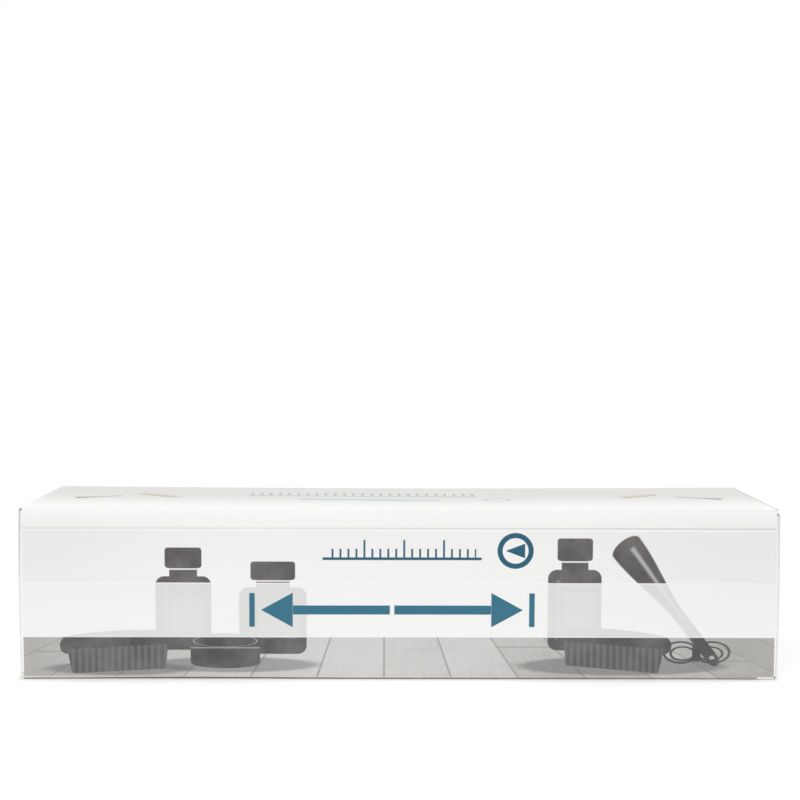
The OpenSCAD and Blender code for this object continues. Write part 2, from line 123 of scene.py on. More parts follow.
class Wire:
    """A node's output socket on which Python's operators add Math nodes.

    low and high give the smaller and the larger of two values. over gives 1 where this value is
    larger than the other, and 0 elsewhere.
    """

    def __init__(self, nodes: "Nodes", socket: Socket) -> None:
        """Keep the nodes that the socket belongs to, and the socket."""
        self.nodes = nodes
        self.socket = socket

    def work_out(self, operation: str, *values: "Wire | Number", clamp: bool = False) -> "Wire":
        """Add a Math node that works on the values, in their order."""
        settings = {"operation": operation, "use_clamp": clamp}
        return self.nodes.node("ShaderNodeMath", settings, dict(enumerate(values)))

    __add__ = maths("ADD")
    __radd__ = maths("ADD", True)
    __sub__ = maths("SUBTRACT")
    __rsub__ = maths("SUBTRACT", True)
    __mul__ = maths("MULTIPLY")
    __rmul__ = maths("MULTIPLY", True)
    __truediv__ = maths("DIVIDE")
    __rtruediv__ = maths("DIVIDE", True)
    __pow__ = maths("POWER")
    __abs__ = maths("ABSOLUTE")
    low = maths("MINIMUM")
    high = maths("MAXIMUM")
    root = maths("SQRT")
    sine = maths("SINE")
    fract = maths("FRACT")
    floor = maths("FLOOR")
    over = maths("GREATER_THAN")

    def __neg__(self) -> "Wire":
        """The value with its sign turned."""
        return self * -1.0

    def span(self, start: float, end: float) -> "Wire":
        """Rise smoothly from 0 at start to 1 at end."""
        settings = {"interpolation_type": "SMOOTHSTEP"}
        return self.nodes.node("ShaderNodeMapRange", settings, {0: self, 1: start, 2: end})

    def inside(self, soft: float = 0.1) -> "Wire":
        """Mask of a shape from the distance to its outline, negative inside, softened in mm."""
        return self.work_out("MULTIPLY_ADD", self, -1.0 / soft, 0.5, clamp=True)


Input = Wire | Number | Sequence[float]


class Nodes:
    """A node tree to which nodes are added by what they take in."""

    def __init__(self, tree: bpy.types.NodeTree) -> None:
        """Keep the tree."""
        self.tree = tree

    def feed(self, socket: Socket, value: Input) -> None:
        """Link or set one input socket."""
        if isinstance(value, Wire):
            self.tree.links.new(value.socket, socket)
        else:
            socket.default_value = value

    def node(self, kind: str, settings: dict | None = None, inputs: dict | None = None,
             out: int | str = 0) -> Wire:
        """Add a node.

        Args:
            kind: the node's type.
            settings: the node's own properties, set before its sockets.
            inputs: values or links, by socket name or number.
            out: name or number of the output that is returned.

        Returns:
            The chosen output.
        """
        made = self.tree.nodes.new(kind)
        for key, value in (settings or {}).items():
            setattr(made, key, value)
        for key, value in (inputs or {}).items():
            self.feed(made.inputs[key], value)
        return Wire(self, made.outputs[out])

    def seen(self) -> Wire:
        """1 where the camera, a reflection or glass looks, otherwise 0."""
        kinds = ("Camera", "Glossy", "Transmission")
        camera, glossy, through = (self.node("ShaderNodeLightPath", out=f"Is {kind} Ray") for kind in kinds)
        return camera.high(glossy).high(through)


class Paint(Nodes):
    """One node material while it is put together."""

    def __init__(self, name: str, **shader: float) -> None:
        """Start a material whose shader has the given constant inputs.

        Args:
            name: name of the material.
            shader: inputs of the Principled shader, with _ for a space.
        """
        self.material = bpy.data.materials.new(name)
        self.material.use_nodes = True
        super().__init__(self.material.node_tree)
        self.tree.nodes.clear()
        self.shader = self.tree.nodes.new("ShaderNodeBsdfPrincipled")
        out = self.tree.nodes.new("ShaderNodeOutputMaterial")
        self.tree.links.new(self.shader.outputs[0], out.inputs["Surface"])
        for key, value in shader.items():
            self.input(key).default_value = value
        self.place = self.node("ShaderNodeTexCoord", out="Object")

    def input(self, key: str) -> Socket:
        """The shader's input socket of a name written with _ for a space."""
        return self.shader.inputs[key.replace("_", " ").title().replace("Ior", "IOR")]

    def axes(self) -> tuple[Wire, Wire, Wire]:
        """The place on the object, in millimetres."""
        sockets = self.node("ShaderNodeSeparateXYZ", None, {0: self.place}).socket.node.outputs
        x, y, z = (Wire(self, socket) * 1000.0 for socket in sockets)
        return x, y, z

    def point(self, x: Input, y: Input, z: Input) -> Wire:
        """A vector of three values."""
        return self.node("ShaderNodeCombineXYZ", None, {0: x, 1: y, 2: z})

    def noise(self, scale: float, detail: float = 2.0, rough: float = 0.5,
              stretch: Point = (1.0, 1.0, 1.0), where: Wire | None = None) -> Wire:
        """Noise from 0 to 1 on the object, or at another place, with its axes stretched."""
        spot = self.node("ShaderNodeMapping", None, {"Vector": where or self.place, "Scale": stretch})
        inputs = {"Vector": spot, "Scale": scale, "Detail": detail, "Roughness": rough}
        return self.node("ShaderNodeTexNoise", None, inputs)

    def mix(self, factor: Input, first: Input, second: Input) -> Wire:
        """Blend two colours by a factor, first at 0."""
        return self.node("ShaderNodeMix", {"data_type": "RGBA"}, {0: factor, 6: first, 7: second}, 2)

    def lay(self, factor: Input, base: Input, code: str) -> Wire:
        """Lay a display colour over a base, wholly at a factor of 1."""
        return self.mix(factor, base, colour(code))

    def grey(self, value: Wire) -> Wire:
        """A value as a neutral colour."""
        return self.node("ShaderNodeCombineColor", None, {0: value, 1: value, 2: value})

    def relief(self, height: Wire, depth: float, strength: float = 1.0) -> None:
        """Bump the surface by a height from 0 to 1, of the given depth in mm."""
        inputs = {"Strength": strength, "Distance": depth * MM, "Height": height}
        bump = self.node("ShaderNodeBump", None, inputs)
        self.feed(self.shader.inputs["Normal"], bump)

    def finish(self, base: Input, rough: Input | None = None, **others: Input) -> Material:
        """Set what the shader shows.

        Args:
            base: the base colour.
            rough: the roughness.
            others: more inputs that vary, with _ for a space.

        Returns:
            The finished material.
        """
        self.feed(self.shader.inputs["Base Color"], base)
        if rough is not None:
            self.feed(self.shader.inputs["Roughness"], rough)
        for key, value in others.items():
            self.feed(self.input(key), value)
        return self.material


# Flat shapes, drawn as distances in millimetres that are negative inside


@dataclass(frozen=True)
class Plane:
    """Two coordinates on which flat shapes are drawn."""

    x: Wire
    z: Wire

    def box(self, centre: Pair, half: Pair, corner: float = 0.0) -> Wire:
        """Distance to a rectangle with rounded corners."""
        dx = abs(self.x - centre[0]) - (half[0] - corner)
        dz = abs(self.z - centre[1]) - (half[1] - corner)
        outside = (dx.high(0.0) ** 2.0 + dz.high(0.0) ** 2.0).root()
        return outside + dx.high(dz).low(0.0) - corner

    def disc(self, centre: Pair, radius: float, flat: float = 1.0) -> Wire:
        """Distance to a disc, pressed flat in height by a share."""
        dx = self.x - centre[0]
        dz = (self.z - centre[1]) * (1.0 / flat)
        return (dx * dx + dz * dz).root() - radius

    def about(self, centre: Pair, degrees: float = 0.0, shrink: float = 1.0) -> "Plane":
        """The plane of a shape that is drawn about its own centre, then turned and made smaller."""
        c = math.cos(math.radians(degrees)) * shrink
        s = math.sin(math.radians(degrees)) * shrink
        dx = self.x - centre[0]
        dz = self.z - centre[1]
        return Plane(dx * c + dz * s, dz * c - dx * s)


# Finishes


def coat(p: Paint, base: Wire, dent_scale: float, dent_depth: float) -> Material:
    """Finish coated board with faint fibres, soft dents and a slightly uneven sheen."""
    fibre = p.noise(900.0, rough=0.6)
    base = p.lay(fibre.span(0.35, 0.75) * 0.02, base, "b8b8b6")
    p.relief(fibre * 0.12 + p.noise(dent_scale), dent_depth, 0.35)
    return p.finish(base, p.noise(60.0) * 0.12 + 0.36)


COATED = {"specular_ior_level": 0.42, "coat_weight": 0.12, "coat_roughness": 0.25}


@dataclass(frozen=True)
class PrintedBoard:
    """Coated carton board with a grey interior scene, a pale band and teal marks.

    Attributes:
        skirting_z: height of the groove in the wall's moulding.
        floor_z: height of the floor's far edge, where the pale band starts.
        plank_reach: height over which the floor's joints draw together.
        shadows, bottles, brushes: where each one stands, with its size or its turn.
        ruler, ring, arrow: middles of the teal marks.
        end_brush, end_horn: middle, turn and shrink of the marks near each end of the top.
    """

    half_length: float = 190.0
    face_y: float = 49.0
    height: float = 87.0
    skirting_z: float = 76.9
    floor_z: float = 21.7
    band_top: float = 49.0
    plank_reach: float = 78.0
    plank_width: float = 27.0
    plank_length: float = 64.0
    shadows: tuple = (((-142.0, 5.5), 38.0), ((-84.0, 7.5), 44.0), ((112.0, 7.0), 54.0))
    bottles: tuple = (((-109.0, 15.0), 14.0, 52.0), ((-64.0, 13.0), 17.0, 47.0), ((88.0, 15.0), 13.5, 57.0))
    brushes: tuple = (((-142.0, 14.0), 3.0), ((108.0, 15.0), -5.0))
    tin_at: Pair = (-88.0, 14.0)
    horn_at: tuple = ((136.0, 39.0), 128.0)
    laces_at: Pair = (150.0, 14.0)
    ruler: Pair = (1.0, 61.5)
    tick_pitch: float = 4.0
    ring: Pair = (58.0, 65.6)
    arrow: Pair = (-4.0, 35.4)
    top_tick_pitch: float = 5.0
    end_brush: tuple = ((129.0, 12.0), 32.0, 2.0)
    end_horn: tuple = ((160.0, 1.0), -28.0, 3.0)
    paper: str = "f7f7f6"
    wall: str = "f5f5f4"
    wall_shade: str = "eeeeed"
    upper_wall_and_fold_highlight: str = "ffffff"
    plank: str = "d2d1cf"
    plank_dark: str = "a5a4a1"
    joint: str = "8a8886"
    motif: str = "434241"
    motif_light: str = "7d7b79"
    teal: str = "00566f"
    teal_light: str = "226a82"
    beige: str = "d9cdb8"

    def planks(self, p: Paint, face: Plane) -> Wire:
        """Colour of the plank floor, whose joints run towards a point high above the middle."""
        x, z = face.x, face.z
        near = self.plank_reach / (z * -1.0 + (self.plank_reach + 21.0))
        across = (x + 8.0) * near * (1 / self.plank_width)
        lane = across.floor()
        joint = (abs(across.fract() - 0.5) * 2.0).span(0.955, 0.985)
        tone = p.node("ShaderNodeTexWhiteNoise", {"noise_dimensions": "1D"}, {"W": lane})
        butt = ((z + lane * 23.7) * (1 / self.plank_length)).fract()
        butt_line = abs(butt - 0.5).span(0.49, 0.497)
        grain = p.noise(1.0, 3.0, 0.6, where=p.point(across * 14.0, 0.0, z * 0.35))
        wear = p.noise(0.02, where=p.point(x, 0.0, z * 2.0))
        shade = tone * 0.2 + grain * 0.5 + wear * 0.4 + abs(x + 10.0) * 0.0022 - 0.3
        base = p.lay(shade.span(0.05, 0.95), colour(self.plank), self.plank_dark)
        return p.lay(joint.high(butt_line * 0.6) * 0.7, base, self.joint)

    def room(self, p: Paint, face: Plane) -> Wire:
        """Colour of the wall, its moulding and the floor, with a painted highlight that rises towards the top
        fold.
        """
        x, z = face.x, face.z
        # The wall darkens towards both ends.
        corner = abs(x + 12.0).span(60.0, 185.0)
        cloud = p.noise(0.012, where=p.point(x, 0.0, z))
        wall = p.lay(corner * 0.75 + cloud * 0.25 - 0.12, colour(self.wall), self.wall_shade)
        # Above the moulding the wall pales, more so towards the top fold: partly the printed wall, partly a
        # painted highlight of the rounded fold.
        above = z.span(self.skirting_z - 0.4, self.skirting_z + 0.4)
        rise = z.span(self.skirting_z, self.height)
        wall = p.lay(above * (rise * 0.55 + 0.4), wall, self.upper_wall_and_fold_highlight)
        strong = x.span(-120.0, 150.0) * 0.5 + 0.5
        groove = 1.0 - abs(z - self.skirting_z).span(0.1, 0.65)
        lip = 1.0 - abs(z - (self.skirting_z - 1.1)).span(0.15, 0.8)
        wall = p.lay(groove * strong * 0.34, wall, "9fa1a2")
        wall = p.lay(lip * strong * 0.8, wall, "ffffff")
        # A painted highlight along the bottom fold, which is partly the board's white showing at the crease;
        # it fades out towards the right.
        crease = 1.0 - abs(z - 1.3).span(0.15, 0.6)
        fading = 1.0 - x.span(-60.0, 120.0)
        ground = p.lay(crease * fading * 0.5, self.planks(p, face), "f0f0ef")
        scuff = face.box((185.6, 0.6), (4.6, 0.75), 0.3).inside(0.3)
        on_floor = 1.0 - z.span(self.floor_z - 0.3, self.floor_z + 0.5)
        return p.mix(on_floor, wall, p.lay(scuff, ground, self.paper))

    @staticmethod
    def brush(own: Plane) -> tuple[Wire, Wire]:
        """Masks of a shoe brush and of its bristles."""
        u, v = own.x, own.z
        arched = Plane(u, v + u * u * 0.0022)
        block = arched.box((0.0, 6.2), (29.0, 4.6), 4.4)
        flared = Plane(u * (1.0 - v * 0.006), v)
        bristle = flared.box((0.0, -3.6), (25.0, 6.2), 1.2)
        return block.low(bristle).inside(0.35), bristle.inside(0.35)

    @staticmethod
    def tin(own: Plane, radius: float = 17.5) -> tuple[Wire, Wire]:
        """Masks of a round polish tin and of its lid's lit edge."""
        side = own.box((0.0, 0.0), (radius, 6.5), 2.2)
        lid = own.disc((0.0, 6.0), radius, 0.2)
        foot = own.disc((0.0, -5.6), radius - 0.4, 0.16)
        edge = abs(own.disc((0.0, 5.6), radius - 1.6, 0.19)) - 0.35
        rim = abs(own.z - 2.1) - 0.3
        return side.low(lid).low(foot).inside(0.35), edge.low(rim.high(side)).inside(0.4)

    @staticmethod
    def horn(own: Plane) -> tuple[Wire, Wire]:
        """Masks of a shoehorn and of the light along its hollow."""
        u, v = own.x, own.z
        width = u.span(-10.0, 36.0) * 5.2 + 3.0
        blade = Plane(u, v * 4.0 / width).box((0.0, 0.0), (40.0, 4.0), 3.9)
        hole = own.disc((-35.5, 0.0), 1.3)
        gleam = (abs(v + width * 0.25) - width * 0.12).high(abs(u - 12.0) - 22.0)
        return blade.high(-hole).inside(0.4), gleam.inside(1.6)

    @staticmethod
    def laces(own: Plane) -> Wire:
        """Mask of a bundle of laces, wound in loops and bound in the middle."""
        bundle = own.box((0.0, 0.0), (2.2, 4.6), 1.4)
        for side in (-1, 1):
            outer = abs(own.disc((8.0 * side, 0.0), 8.6, 0.62)) - 0.75
            inner = abs(own.disc((7.0 * side, -0.6), 6.1, 0.56)) - 0.7
            bundle = bundle.low(outer).low(inner)
        return bundle.inside(0.35)

    @staticmethod
    def bottle(own: Plane, half: float, tall: float) -> tuple[Wire, Wire]:
        """Masks of a bottle of care fluid and of the light and the bare label on its body."""
        body = own.box((0.0, tall * 0.36), (half, tall * 0.36), 4.5)
        neck = own.box((0.0, tall * 0.76), (half * 0.5, tall * 0.1), 1.0)
        cap = own.box((0.0, tall * 0.9), (half * 0.66, tall * 0.1), 1.6)
        gap = abs(own.z - tall * 0.79) - 0.35
        gleam = own.box((half * -0.62, tall * 0.36), (half * 0.09, tall * 0.27), 0.8)
        label = own.box((half * 0.16, tall * 0.34), (half * 0.6, tall * 0.17), 1.2)
        return body.low(neck).low(cap).high(-gap).inside(0.35), gleam.low(label).inside(0.5)

    def motifs(self, p: Paint, face: Plane, base: Wire) -> Wire:
        """Draw the shoe care tools, each with its shadow on the floor."""
        mottle = p.noise(0.05, 3.0, 0.6, where=p.point(face.x, 0.0, face.z))
        dark = p.lay(mottle.span(0.25, 0.8), colour(self.motif), "6d6b6a")
        hair = (face.x * 1.9).sine() * 0.25 + 0.35
        for spot, half in self.shadows:
            shadow = 1.0 - face.disc(spot, half, 0.09).span(-7.0, 5.0)
            base = p.lay(shadow * 0.55, base, "5f5e5c")
        tools = [(*self.bottle(face.about(spot), half, tall), 0.35, "a9a7a4")
                 for spot, half, tall in self.bottles]
        tools += [(*self.brush(face.about(*place)), hair, self.motif_light) for place in self.brushes]
        tools.append((*self.tin(face.about(self.tin_at)), 0.5, "c9c7c4"))
        tools.append((*self.horn(face.about(*self.horn_at)), 0.75, "cfcdca"))
        for whole, light, strength, tone in tools:
            base = p.mix(whole, base, dark)
            base = p.lay(whole * light * strength, base, tone)
        return p.mix(self.laces(face.about(self.laces_at)), base, dark)

    def marks(self, p: Paint, face: Plane, base: Wire) -> Wire:
        """Draw the teal ruler, the ring with a wedge in it and the arrow that points both ways."""
        x, z = face.x, face.z
        pitch = self.tick_pitch
        beam = face.box(self.ruler, (40.0, 0.7), 0.3)
        cell = (x * (1 / pitch)).fract() * pitch - pitch / 2
        fifth = abs(((x - self.ruler[0]) * (1 / (pitch * 5)) + 0.5).fract() - 0.5).over(0.1)
        tick_top = 71.0 - fifth * 4.5
        ticks = (abs(cell) - 0.5).high(abs(x - self.ruler[0]) - 37.2)
        ticks = ticks.high(self.ruler[1] - z).high(z - tick_top)
        ring = abs(face.disc(self.ring, 7.8)) - 1.3
        wedge = (abs(z - self.ring[1]) - (x - 53.0) * 0.38).high(abs(x - 58.2) - 4.6)
        base = p.lay(beam.low(ticks).low(ring).low(wedge).inside(0.3), base, self.teal)
        reach = abs(x - self.arrow[0])
        bar = face.box(self.arrow, (50.0, 2.3), 0.6).high(1.1 - reach)
        heads = (abs(z - self.arrow[1]) - (66.0 - reach) * 0.55).high(50.0 - reach)
        stops = Plane(reach, z).box((70.5, self.arrow[1]), (1.4, 8.6), 0.5)
        return p.lay(bar.low(heads).low(stops).inside(0.3), base, self.teal_light)

    def picture(self, p: Paint, face: Plane) -> Wire:
        """Colour of one of the two large faces."""
        base = self.motifs(p, face, self.room(p, face))
        middle = (self.band_top + self.floor_z) / 2
        band = face.box((0.0, middle), (self.half_length + 5.0, self.band_top - middle))
        veil = p.lay(band.inside(0.3) * 0.78, base, "f4f4f3")
        veil = p.lay((abs(band) - 0.25).inside(0.4) * 0.8, veil, "fbfbfb")
        return self.marks(p, face, veil)

    def lid(self, p: Paint, top: Plane) -> Wire:
        """Colour of the top: painted shade darkens it towards the back and along the front fold, with faint
        marks along the back.
        """
        x, y = top.x, top.z
        # Painted shade: the top darkens towards the back.
        base = p.lay(y.span(-46.0, 20.0), colour("f5f5f4"), "d6d6d5")
        # Painted shade on the strip along the front fold.
        base = p.lay((1.0 - y.span(-49.8, -46.5)) * 0.85, base, "f0f0ef")
        # A painted shadow of the right end's crease, with worn print, as a thin grey line.
        seam_shadow_and_wear = 1.0 - abs(x - (self.half_length - 0.9)).span(0.2, 0.7)
        base = p.lay(seam_shadow_and_wear * 0.45, base, "8f8e8c")
        cell = abs((x * (1 / self.top_tick_pitch)).fract() - 0.5)
        ticks = (0.36 - cell).high(abs(x + 20.0) - 62.0).high(abs(y - 20.0) - 5.5)
        rail = top.box((-20.0, 12.0), (62.0, 0.9), 0.2)
        base = p.lay(ticks.inside(0.1).high(rail.inside(0.3)) * 0.75, base, "8e9699")
        pad = top.box((-16.0, -3.0), (38.0, 3.2), 3.0)
        ring = abs(top.disc((52.0, -2.0), 6.5)) - 1.2
        base = p.lay(pad.low(ring).inside(0.3) * 0.6, base, "a9b2b5")
        for side in (-1.0, 1.0):
            half = Plane(x * side, y)
            brush, bristles = self.brush(half.about(*self.end_brush))
            horn, gleam = self.horn(half.about(*self.end_horn))
            base = p.lay(brush * 0.8, base, self.beige)
            base = p.lay(bristles * 0.4, base, "8b8375")
            base = p.lay(horn * (1.0 - gleam * 0.5) * 0.85, base, "54524f")
        return base

    def make(self) -> Material:
        """Put the print on the panel that each point belongs to."""
        p = Paint("printed_board", **COATED)
        x, y, z = p.axes()
        front = 1.0 - y.over(-self.face_y)
        back = y.over(self.face_y)
        face = self.picture(p, Plane(x * (front - back), z))
        plain = p.mix(z.over(self.height / 2), colour(self.paper), self.lid(p, Plane(x, y)))
        fold = 1.0 - z.span(self.height - 1.6, self.height - 0.2)
        return coat(p, p.mix(front.high(back) * fold, plain, face), 14.0, 0.35)


@dataclass(frozen=True)
class EndBoard:
    """The same coated board on the end flaps, with a teal corner frame round a bare label field."""

    end_x: float = 190.2
    middle_y: float = 4.0
    paper: str = "f8f8f7"
    line: str = "3c5866"

    def make(self) -> Material:
        """Draw the frame on the plane of the flaps."""
        p = Paint("end_board", **COATED)
        x, y, z = p.axes()
        end = Plane(y, z)
        outer = abs(end.box((self.middle_y, 43.0), (40.0, 21.0), 4.0)) - 0.55
        bar = end.box((self.middle_y, 55.5), (32.0, 3.4), 1.0)
        stripe = abs((y * 0.5).fract() - 0.5) - 0.22
        stripe = stripe.high(abs(y - self.middle_y) - 26.0).high(abs(z - 34.0) - 6.5)
        on_end = abs(x).over(self.end_x)
        base = p.lay(outer.low(bar).inside(0.3) * on_end, colour(self.paper), self.line)
        return coat(p, p.lay(stripe.inside(0.1) * on_end * 0.85, base, "4a4a4a"), 18.0, 0.3)


@dataclass(frozen=True)
class BareBoard:
    """Uncoated side of the board, or its cut edge: pale grey pulp with fibres and specks."""

    name: str
    base: str
    speck: str
    strength: float

    def make(self) -> Material:
        """Scatter fibres of two directions and fine specks over the pulp."""
        p = Paint(self.name, specular_ior_level=0.2)
        pulp = p.noise(220.0, 4.0, 0.65)
        fibre = p.noise(300.0, 2.0, 0.6, (1.0, 6.0, 6.0))
        cross = p.noise(300.0, 2.0, 0.6, (6.0, 1.0, 1.0))
        specks = p.noise(1500.0, 1.0).span(0.66, 0.74)
        base = p.lay(pulp.span(0.3, 0.8) * self.strength, colour(self.base), self.speck)
        base = p.lay((fibre * cross).span(0.22, 0.4) * 0.25, base, "ffffff")
        base = p.lay(specks * 0.18, base, "6f675c")
        p.relief(pulp * 0.6 + fibre * 0.4, 0.12, 0.6)
        return p.finish(base, 0.86 - pulp * 0.1)


@dataclass(frozen=True)
class Beech:
    """Steamed beech under a thin satin lacquer, with its grain along X."""

    pale: str = "dcb78c"
    warm: str = "c9996b"
    fleck: str = "9c6a43"

    def make(self) -> Material:
        """Lay growth rings, short dark flecks and end grain over each other."""
        p = Paint("beech", specular_ior_level=0.45, coat_weight=0.35, coat_roughness=0.22)
        _, y, z = p.axes()
        wander = p.noise(9.0, stretch=(0.3, 1.0, 1.0)) * 5.0
        rings = ((y * 0.35 + z * 0.62 + wander) * 1.4).sine() * 0.5 + 0.5
        streak = p.noise(60.0, 3.0, 0.6, (0.08, 1.0, 1.0))
        flecks = p.noise(1100.0, stretch=(0.12, 1.0, 1.0)).span(0.6, 0.68)
        pores = p.noise(1600.0, 1.0, 0.5, (0.05, 1.0, 1.0)).span(0.6, 0.75)
        base = p.lay(rings * 0.35 + streak * 0.5, colour(self.pale), self.warm)
        base = p.lay(flecks * 0.5, base, self.fleck)
        base = p.lay(pores * 0.18, base, self.fleck)
        base = p.lay(p.noise(6.0, 1.0).span(0.3, 0.8) * 0.15, base, "e6c8a4")
        p.relief(streak * 0.4 - flecks * 0.5 - pores * 0.4, 0.06, 0.5)
        return p.finish(base, flecks * 0.12 + streak * 0.08 + 0.34)


@dataclass(frozen=True)
class Steel:
    """Plain, plated or blackened steel with fine marks of its making.

    Attributes:
        wear: how much the finish is rubbed, 0 to 1.
        along: stretch of the marks on X, Y and Z.
    """

    name: str
    base: str
    rough: float
    wear: float
    along: Point = (1.0, 1.0, 1.0)
    metal: float = 1.0
    scale: float = 400.0

    def make(self) -> Material:
        """Mix fine lines and soft stains into the metal."""
        p = Paint(self.name, metallic=self.metal)
        lines = p.noise(self.scale, 3.0, 0.6, self.along)
        stain = p.noise(35.0)
        base = p.lay(stain.span(0.35, 0.75) * self.wear, colour(self.base), "8f8d88")
        base = p.lay(lines.span(0.3, 0.7) * 0.12, base, "e4e6ea")
        p.relief(lines, 0.02, 0.5)
        return p.finish(base, lines * 0.14 + stain * 0.1 + (self.rough - 0.12))


@dataclass(frozen=True)
class CastEnamel:
    """Cast iron under black enamel, slightly pitted and thin on the edges."""

    base: str = "1b1b1d"
    thin: str = "3a3937"

    def make(self) -> Material:
        """Pit the casting and let the enamel thin out in patches."""
        p = Paint("cast_enamel", specular_ior_level=0.5, coat_weight=0.5, coat_roughness=0.18)
        skin = p.noise(260.0, 4.0, 0.65)
        pits = p.noise(700.0).span(0.62, 0.75)
        p.relief(skin * 0.8 - pits * 0.6, 0.12, 0.7)
        base = p.lay(skin.span(0.45, 0.8) * 0.5, colour(self.base), self.thin)
        return p.finish(base, skin * 0.2 + 0.3)


@dataclass(frozen=True)
class Lacquer:
    """Turned knob under dark gloss lacquer, with faint turning rings and dust."""

    base: str = "1d1412"
    glow: str = "38211a"

    def make(self) -> Material:
        """Ring the knob across its axis and let the wood glow through in streaks."""
        p = Paint("knob_lacquer", specular_ior_level=0.5, coat_weight=0.9, coat_roughness=0.06)
        p.relief(p.noise(900.0, stretch=(1.0, 0.05, 0.05)), 0.02, 0.4)
        streak = p.noise(80.0, 3.0, 0.6, (0.2, 1.0, 1.0))
        base = p.lay(streak.span(0.4, 0.75) * 0.6, colour(self.base), self.glow)
        return p.finish(base, streak * 0.12 + 0.22)


@dataclass(frozen=True)
class Brass:
    """Turned brass, rubbed bright with a slightly tarnished ground."""

    base: str = "c39a4c"
    tarnish: str = "7c5c2c"

    def make(self) -> Material:
        """Turn fine rings and settle tarnish in patches."""
        p = Paint("ferrule_brass", metallic=1.0)
        p.relief(p.noise(1400.0, stretch=(1.0, 0.04, 0.04)), 0.02, 0.5)
        patches = p.noise(120.0, 3.0, 0.6)
        base = p.lay(patches.span(0.42, 0.8) * 0.55, colour(self.base), self.tarnish)
        return p.finish(base, patches * 0.2 + 0.18)


class Finish(Enum):
    """The finishes by the record's slots, with how each is made."""

    PRINT = ("printed_board", PrintedBoard())
    END = ("printed_board", EndBoard())
    INSIDE = ("printed_board", BareBoard("inner_board", "f0eeea", "dedad3", 0.3))
    EDGE = ("printed_board", BareBoard("board_edge", "efedea", "cfcac2", 0.35))
    BEECH = ("beech", Beech())
    ENAMEL = ("black_enamel", CastEnamel())
    PLATE = ("plated_steel", Steel("plated_steel", "b4b8bd", 0.34, 0.25))
    BRIGHT = ("bright_steel", Steel("bright_steel", "c9ccd0", 0.2, 0.12, (8.0, 0.6, 0.6), scale=500.0))
    SCREW = ("fastener_steel", Steel("fastener_steel", "a9abaf", 0.3, 0.3, scale=900.0))
    OXIDE = ("black_oxide", Steel("black_oxide", "2b2b2e", 0.42, 0.15, metal=0.85))
    WIRE = ("spring_wire", Steel("spring_wire", "a3a5a9", 0.28, 0.35, scale=1200.0))
    KNOB = ("knob_lacquer", Lacquer())
    BRASS = ("ferrule_brass", Brass())

    @property
    def material(self) -> Material:
        """The finish's material, made once."""
        if self.name not in MADE:
            MADE[self.name] = self.value[1].make()
        return MADE[self.name]

    @property
    def slot(self) -> str:
        """The record's slot."""
        return self.value[0]


MADE: dict[str, Material] = {}


# Making pieces


def at(*values: float) -> Vector:
    """A point or size given in millimetres."""
    return Vector(values) * MM


def settle(bm: Shape, gap: float = 0.001) -> None:
    """Merge doubled vertices and turn all faces of a closed mesh outwards."""
    bmesh.ops.remove_doubles(bm, verts=bm.verts, dist=gap * MM)
    bmesh.ops.recalc_face_normals(bm, faces=bm.faces)


def plain_object(name: str, bm: Shape) -> Piece:
    """Turn a bmesh into an object in the scene and free it."""
    mesh = bpy.data.meshes.new(name)
    bm.to_mesh(mesh)
    bm.free()
    made = bpy.data.objects.new(name, mesh)
    bpy.context.scene.collection.objects.link(made)
    return made


def bake(piece: Piece) -> None:
    """Apply a piece's modifiers to its mesh."""
    graph = bpy.context.evaluated_depsgraph_get()
    piece.data = bpy.data.meshes.new_from_object(piece.evaluated_get(graph))
    piece.modifiers.clear()


def carve(piece: Piece, tools: Iterable[Shape]) -> None:
    """Cut closed shapes out of a piece."""
    cutters = [plain_object("cutter", tool) for tool in tools]
    for cutter in cutters:
        cut = piece.modifiers.new("cut", "BOOLEAN")
        cut.operation = "DIFFERENCE"
        cut.solver = "MANIFOLD"
        cut.object = cutter
    bake(piece)
    for cutter in cutters:
        bpy.data.objects.remove(cutter)


def dress(piece: Piece, finishes: Sequence["Finish"]) -> None:
    """Give a piece one material slot for each finish."""
    for finish in finishes:
        piece.data.materials.append(finish.material)


def wall_up(piece: Piece, thickness: float, finishes: Sequence["Finish"]) -> None:
    """Give a sheet its thickness behind its face, with finishes for its face, its back and its rim."""
    dress(piece, finishes)
    wall = piece.modifiers.new("wall", "SOLIDIFY")
    wall.thickness = thickness * MM
    wall.offset = -1.0
    wall.use_even_offset = True
    wall.material_offset = 1
    wall.material_offset_rim = 2
    bake(piece)


def hand_over(piece: Piece, finish: "Finish", body: str | tuple, nodes: Sequence[str] = (),
              crisp: float = 35.0) -> Piece:
    """Tie a finished mesh to a body of the frame, or leave it loose in place.

    Args:
        piece: the object, in place.
        finish: its finish, which it is given if it has none yet.
        body: the body that it rides on; a piece given two bodies and the points where a bend would start and
            end is left loose in place.
        nodes: CAD nodes that it stands for.
        crisp: edges sharper than this angle stay sharp.

    Returns:
        The piece.
    """
    if not any(piece.data.materials):
        piece.data.materials.clear()
        dress(piece, [finish])
    piece.data.shade_smooth()
    piece.data.set_sharp_from_angle(angle=math.radians(crisp))
    finish.slot
    if nodes:
        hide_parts(*nodes)
    if isinstance(body, str):
        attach(piece, body)
    else:
        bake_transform(piece)
    LOG.info("%s: %d faces of %s", piece.name, len(piece.data.polygons), finish.name)
    return piece


def make(name: str, bm: Shape, finish: "Finish", body: str, *nodes: str) -> Piece:
    """Close off a solid mesh and hand it over with one finish."""
    settle(bm)
    return hand_over(plain_object(name, bm), finish, body, nodes)


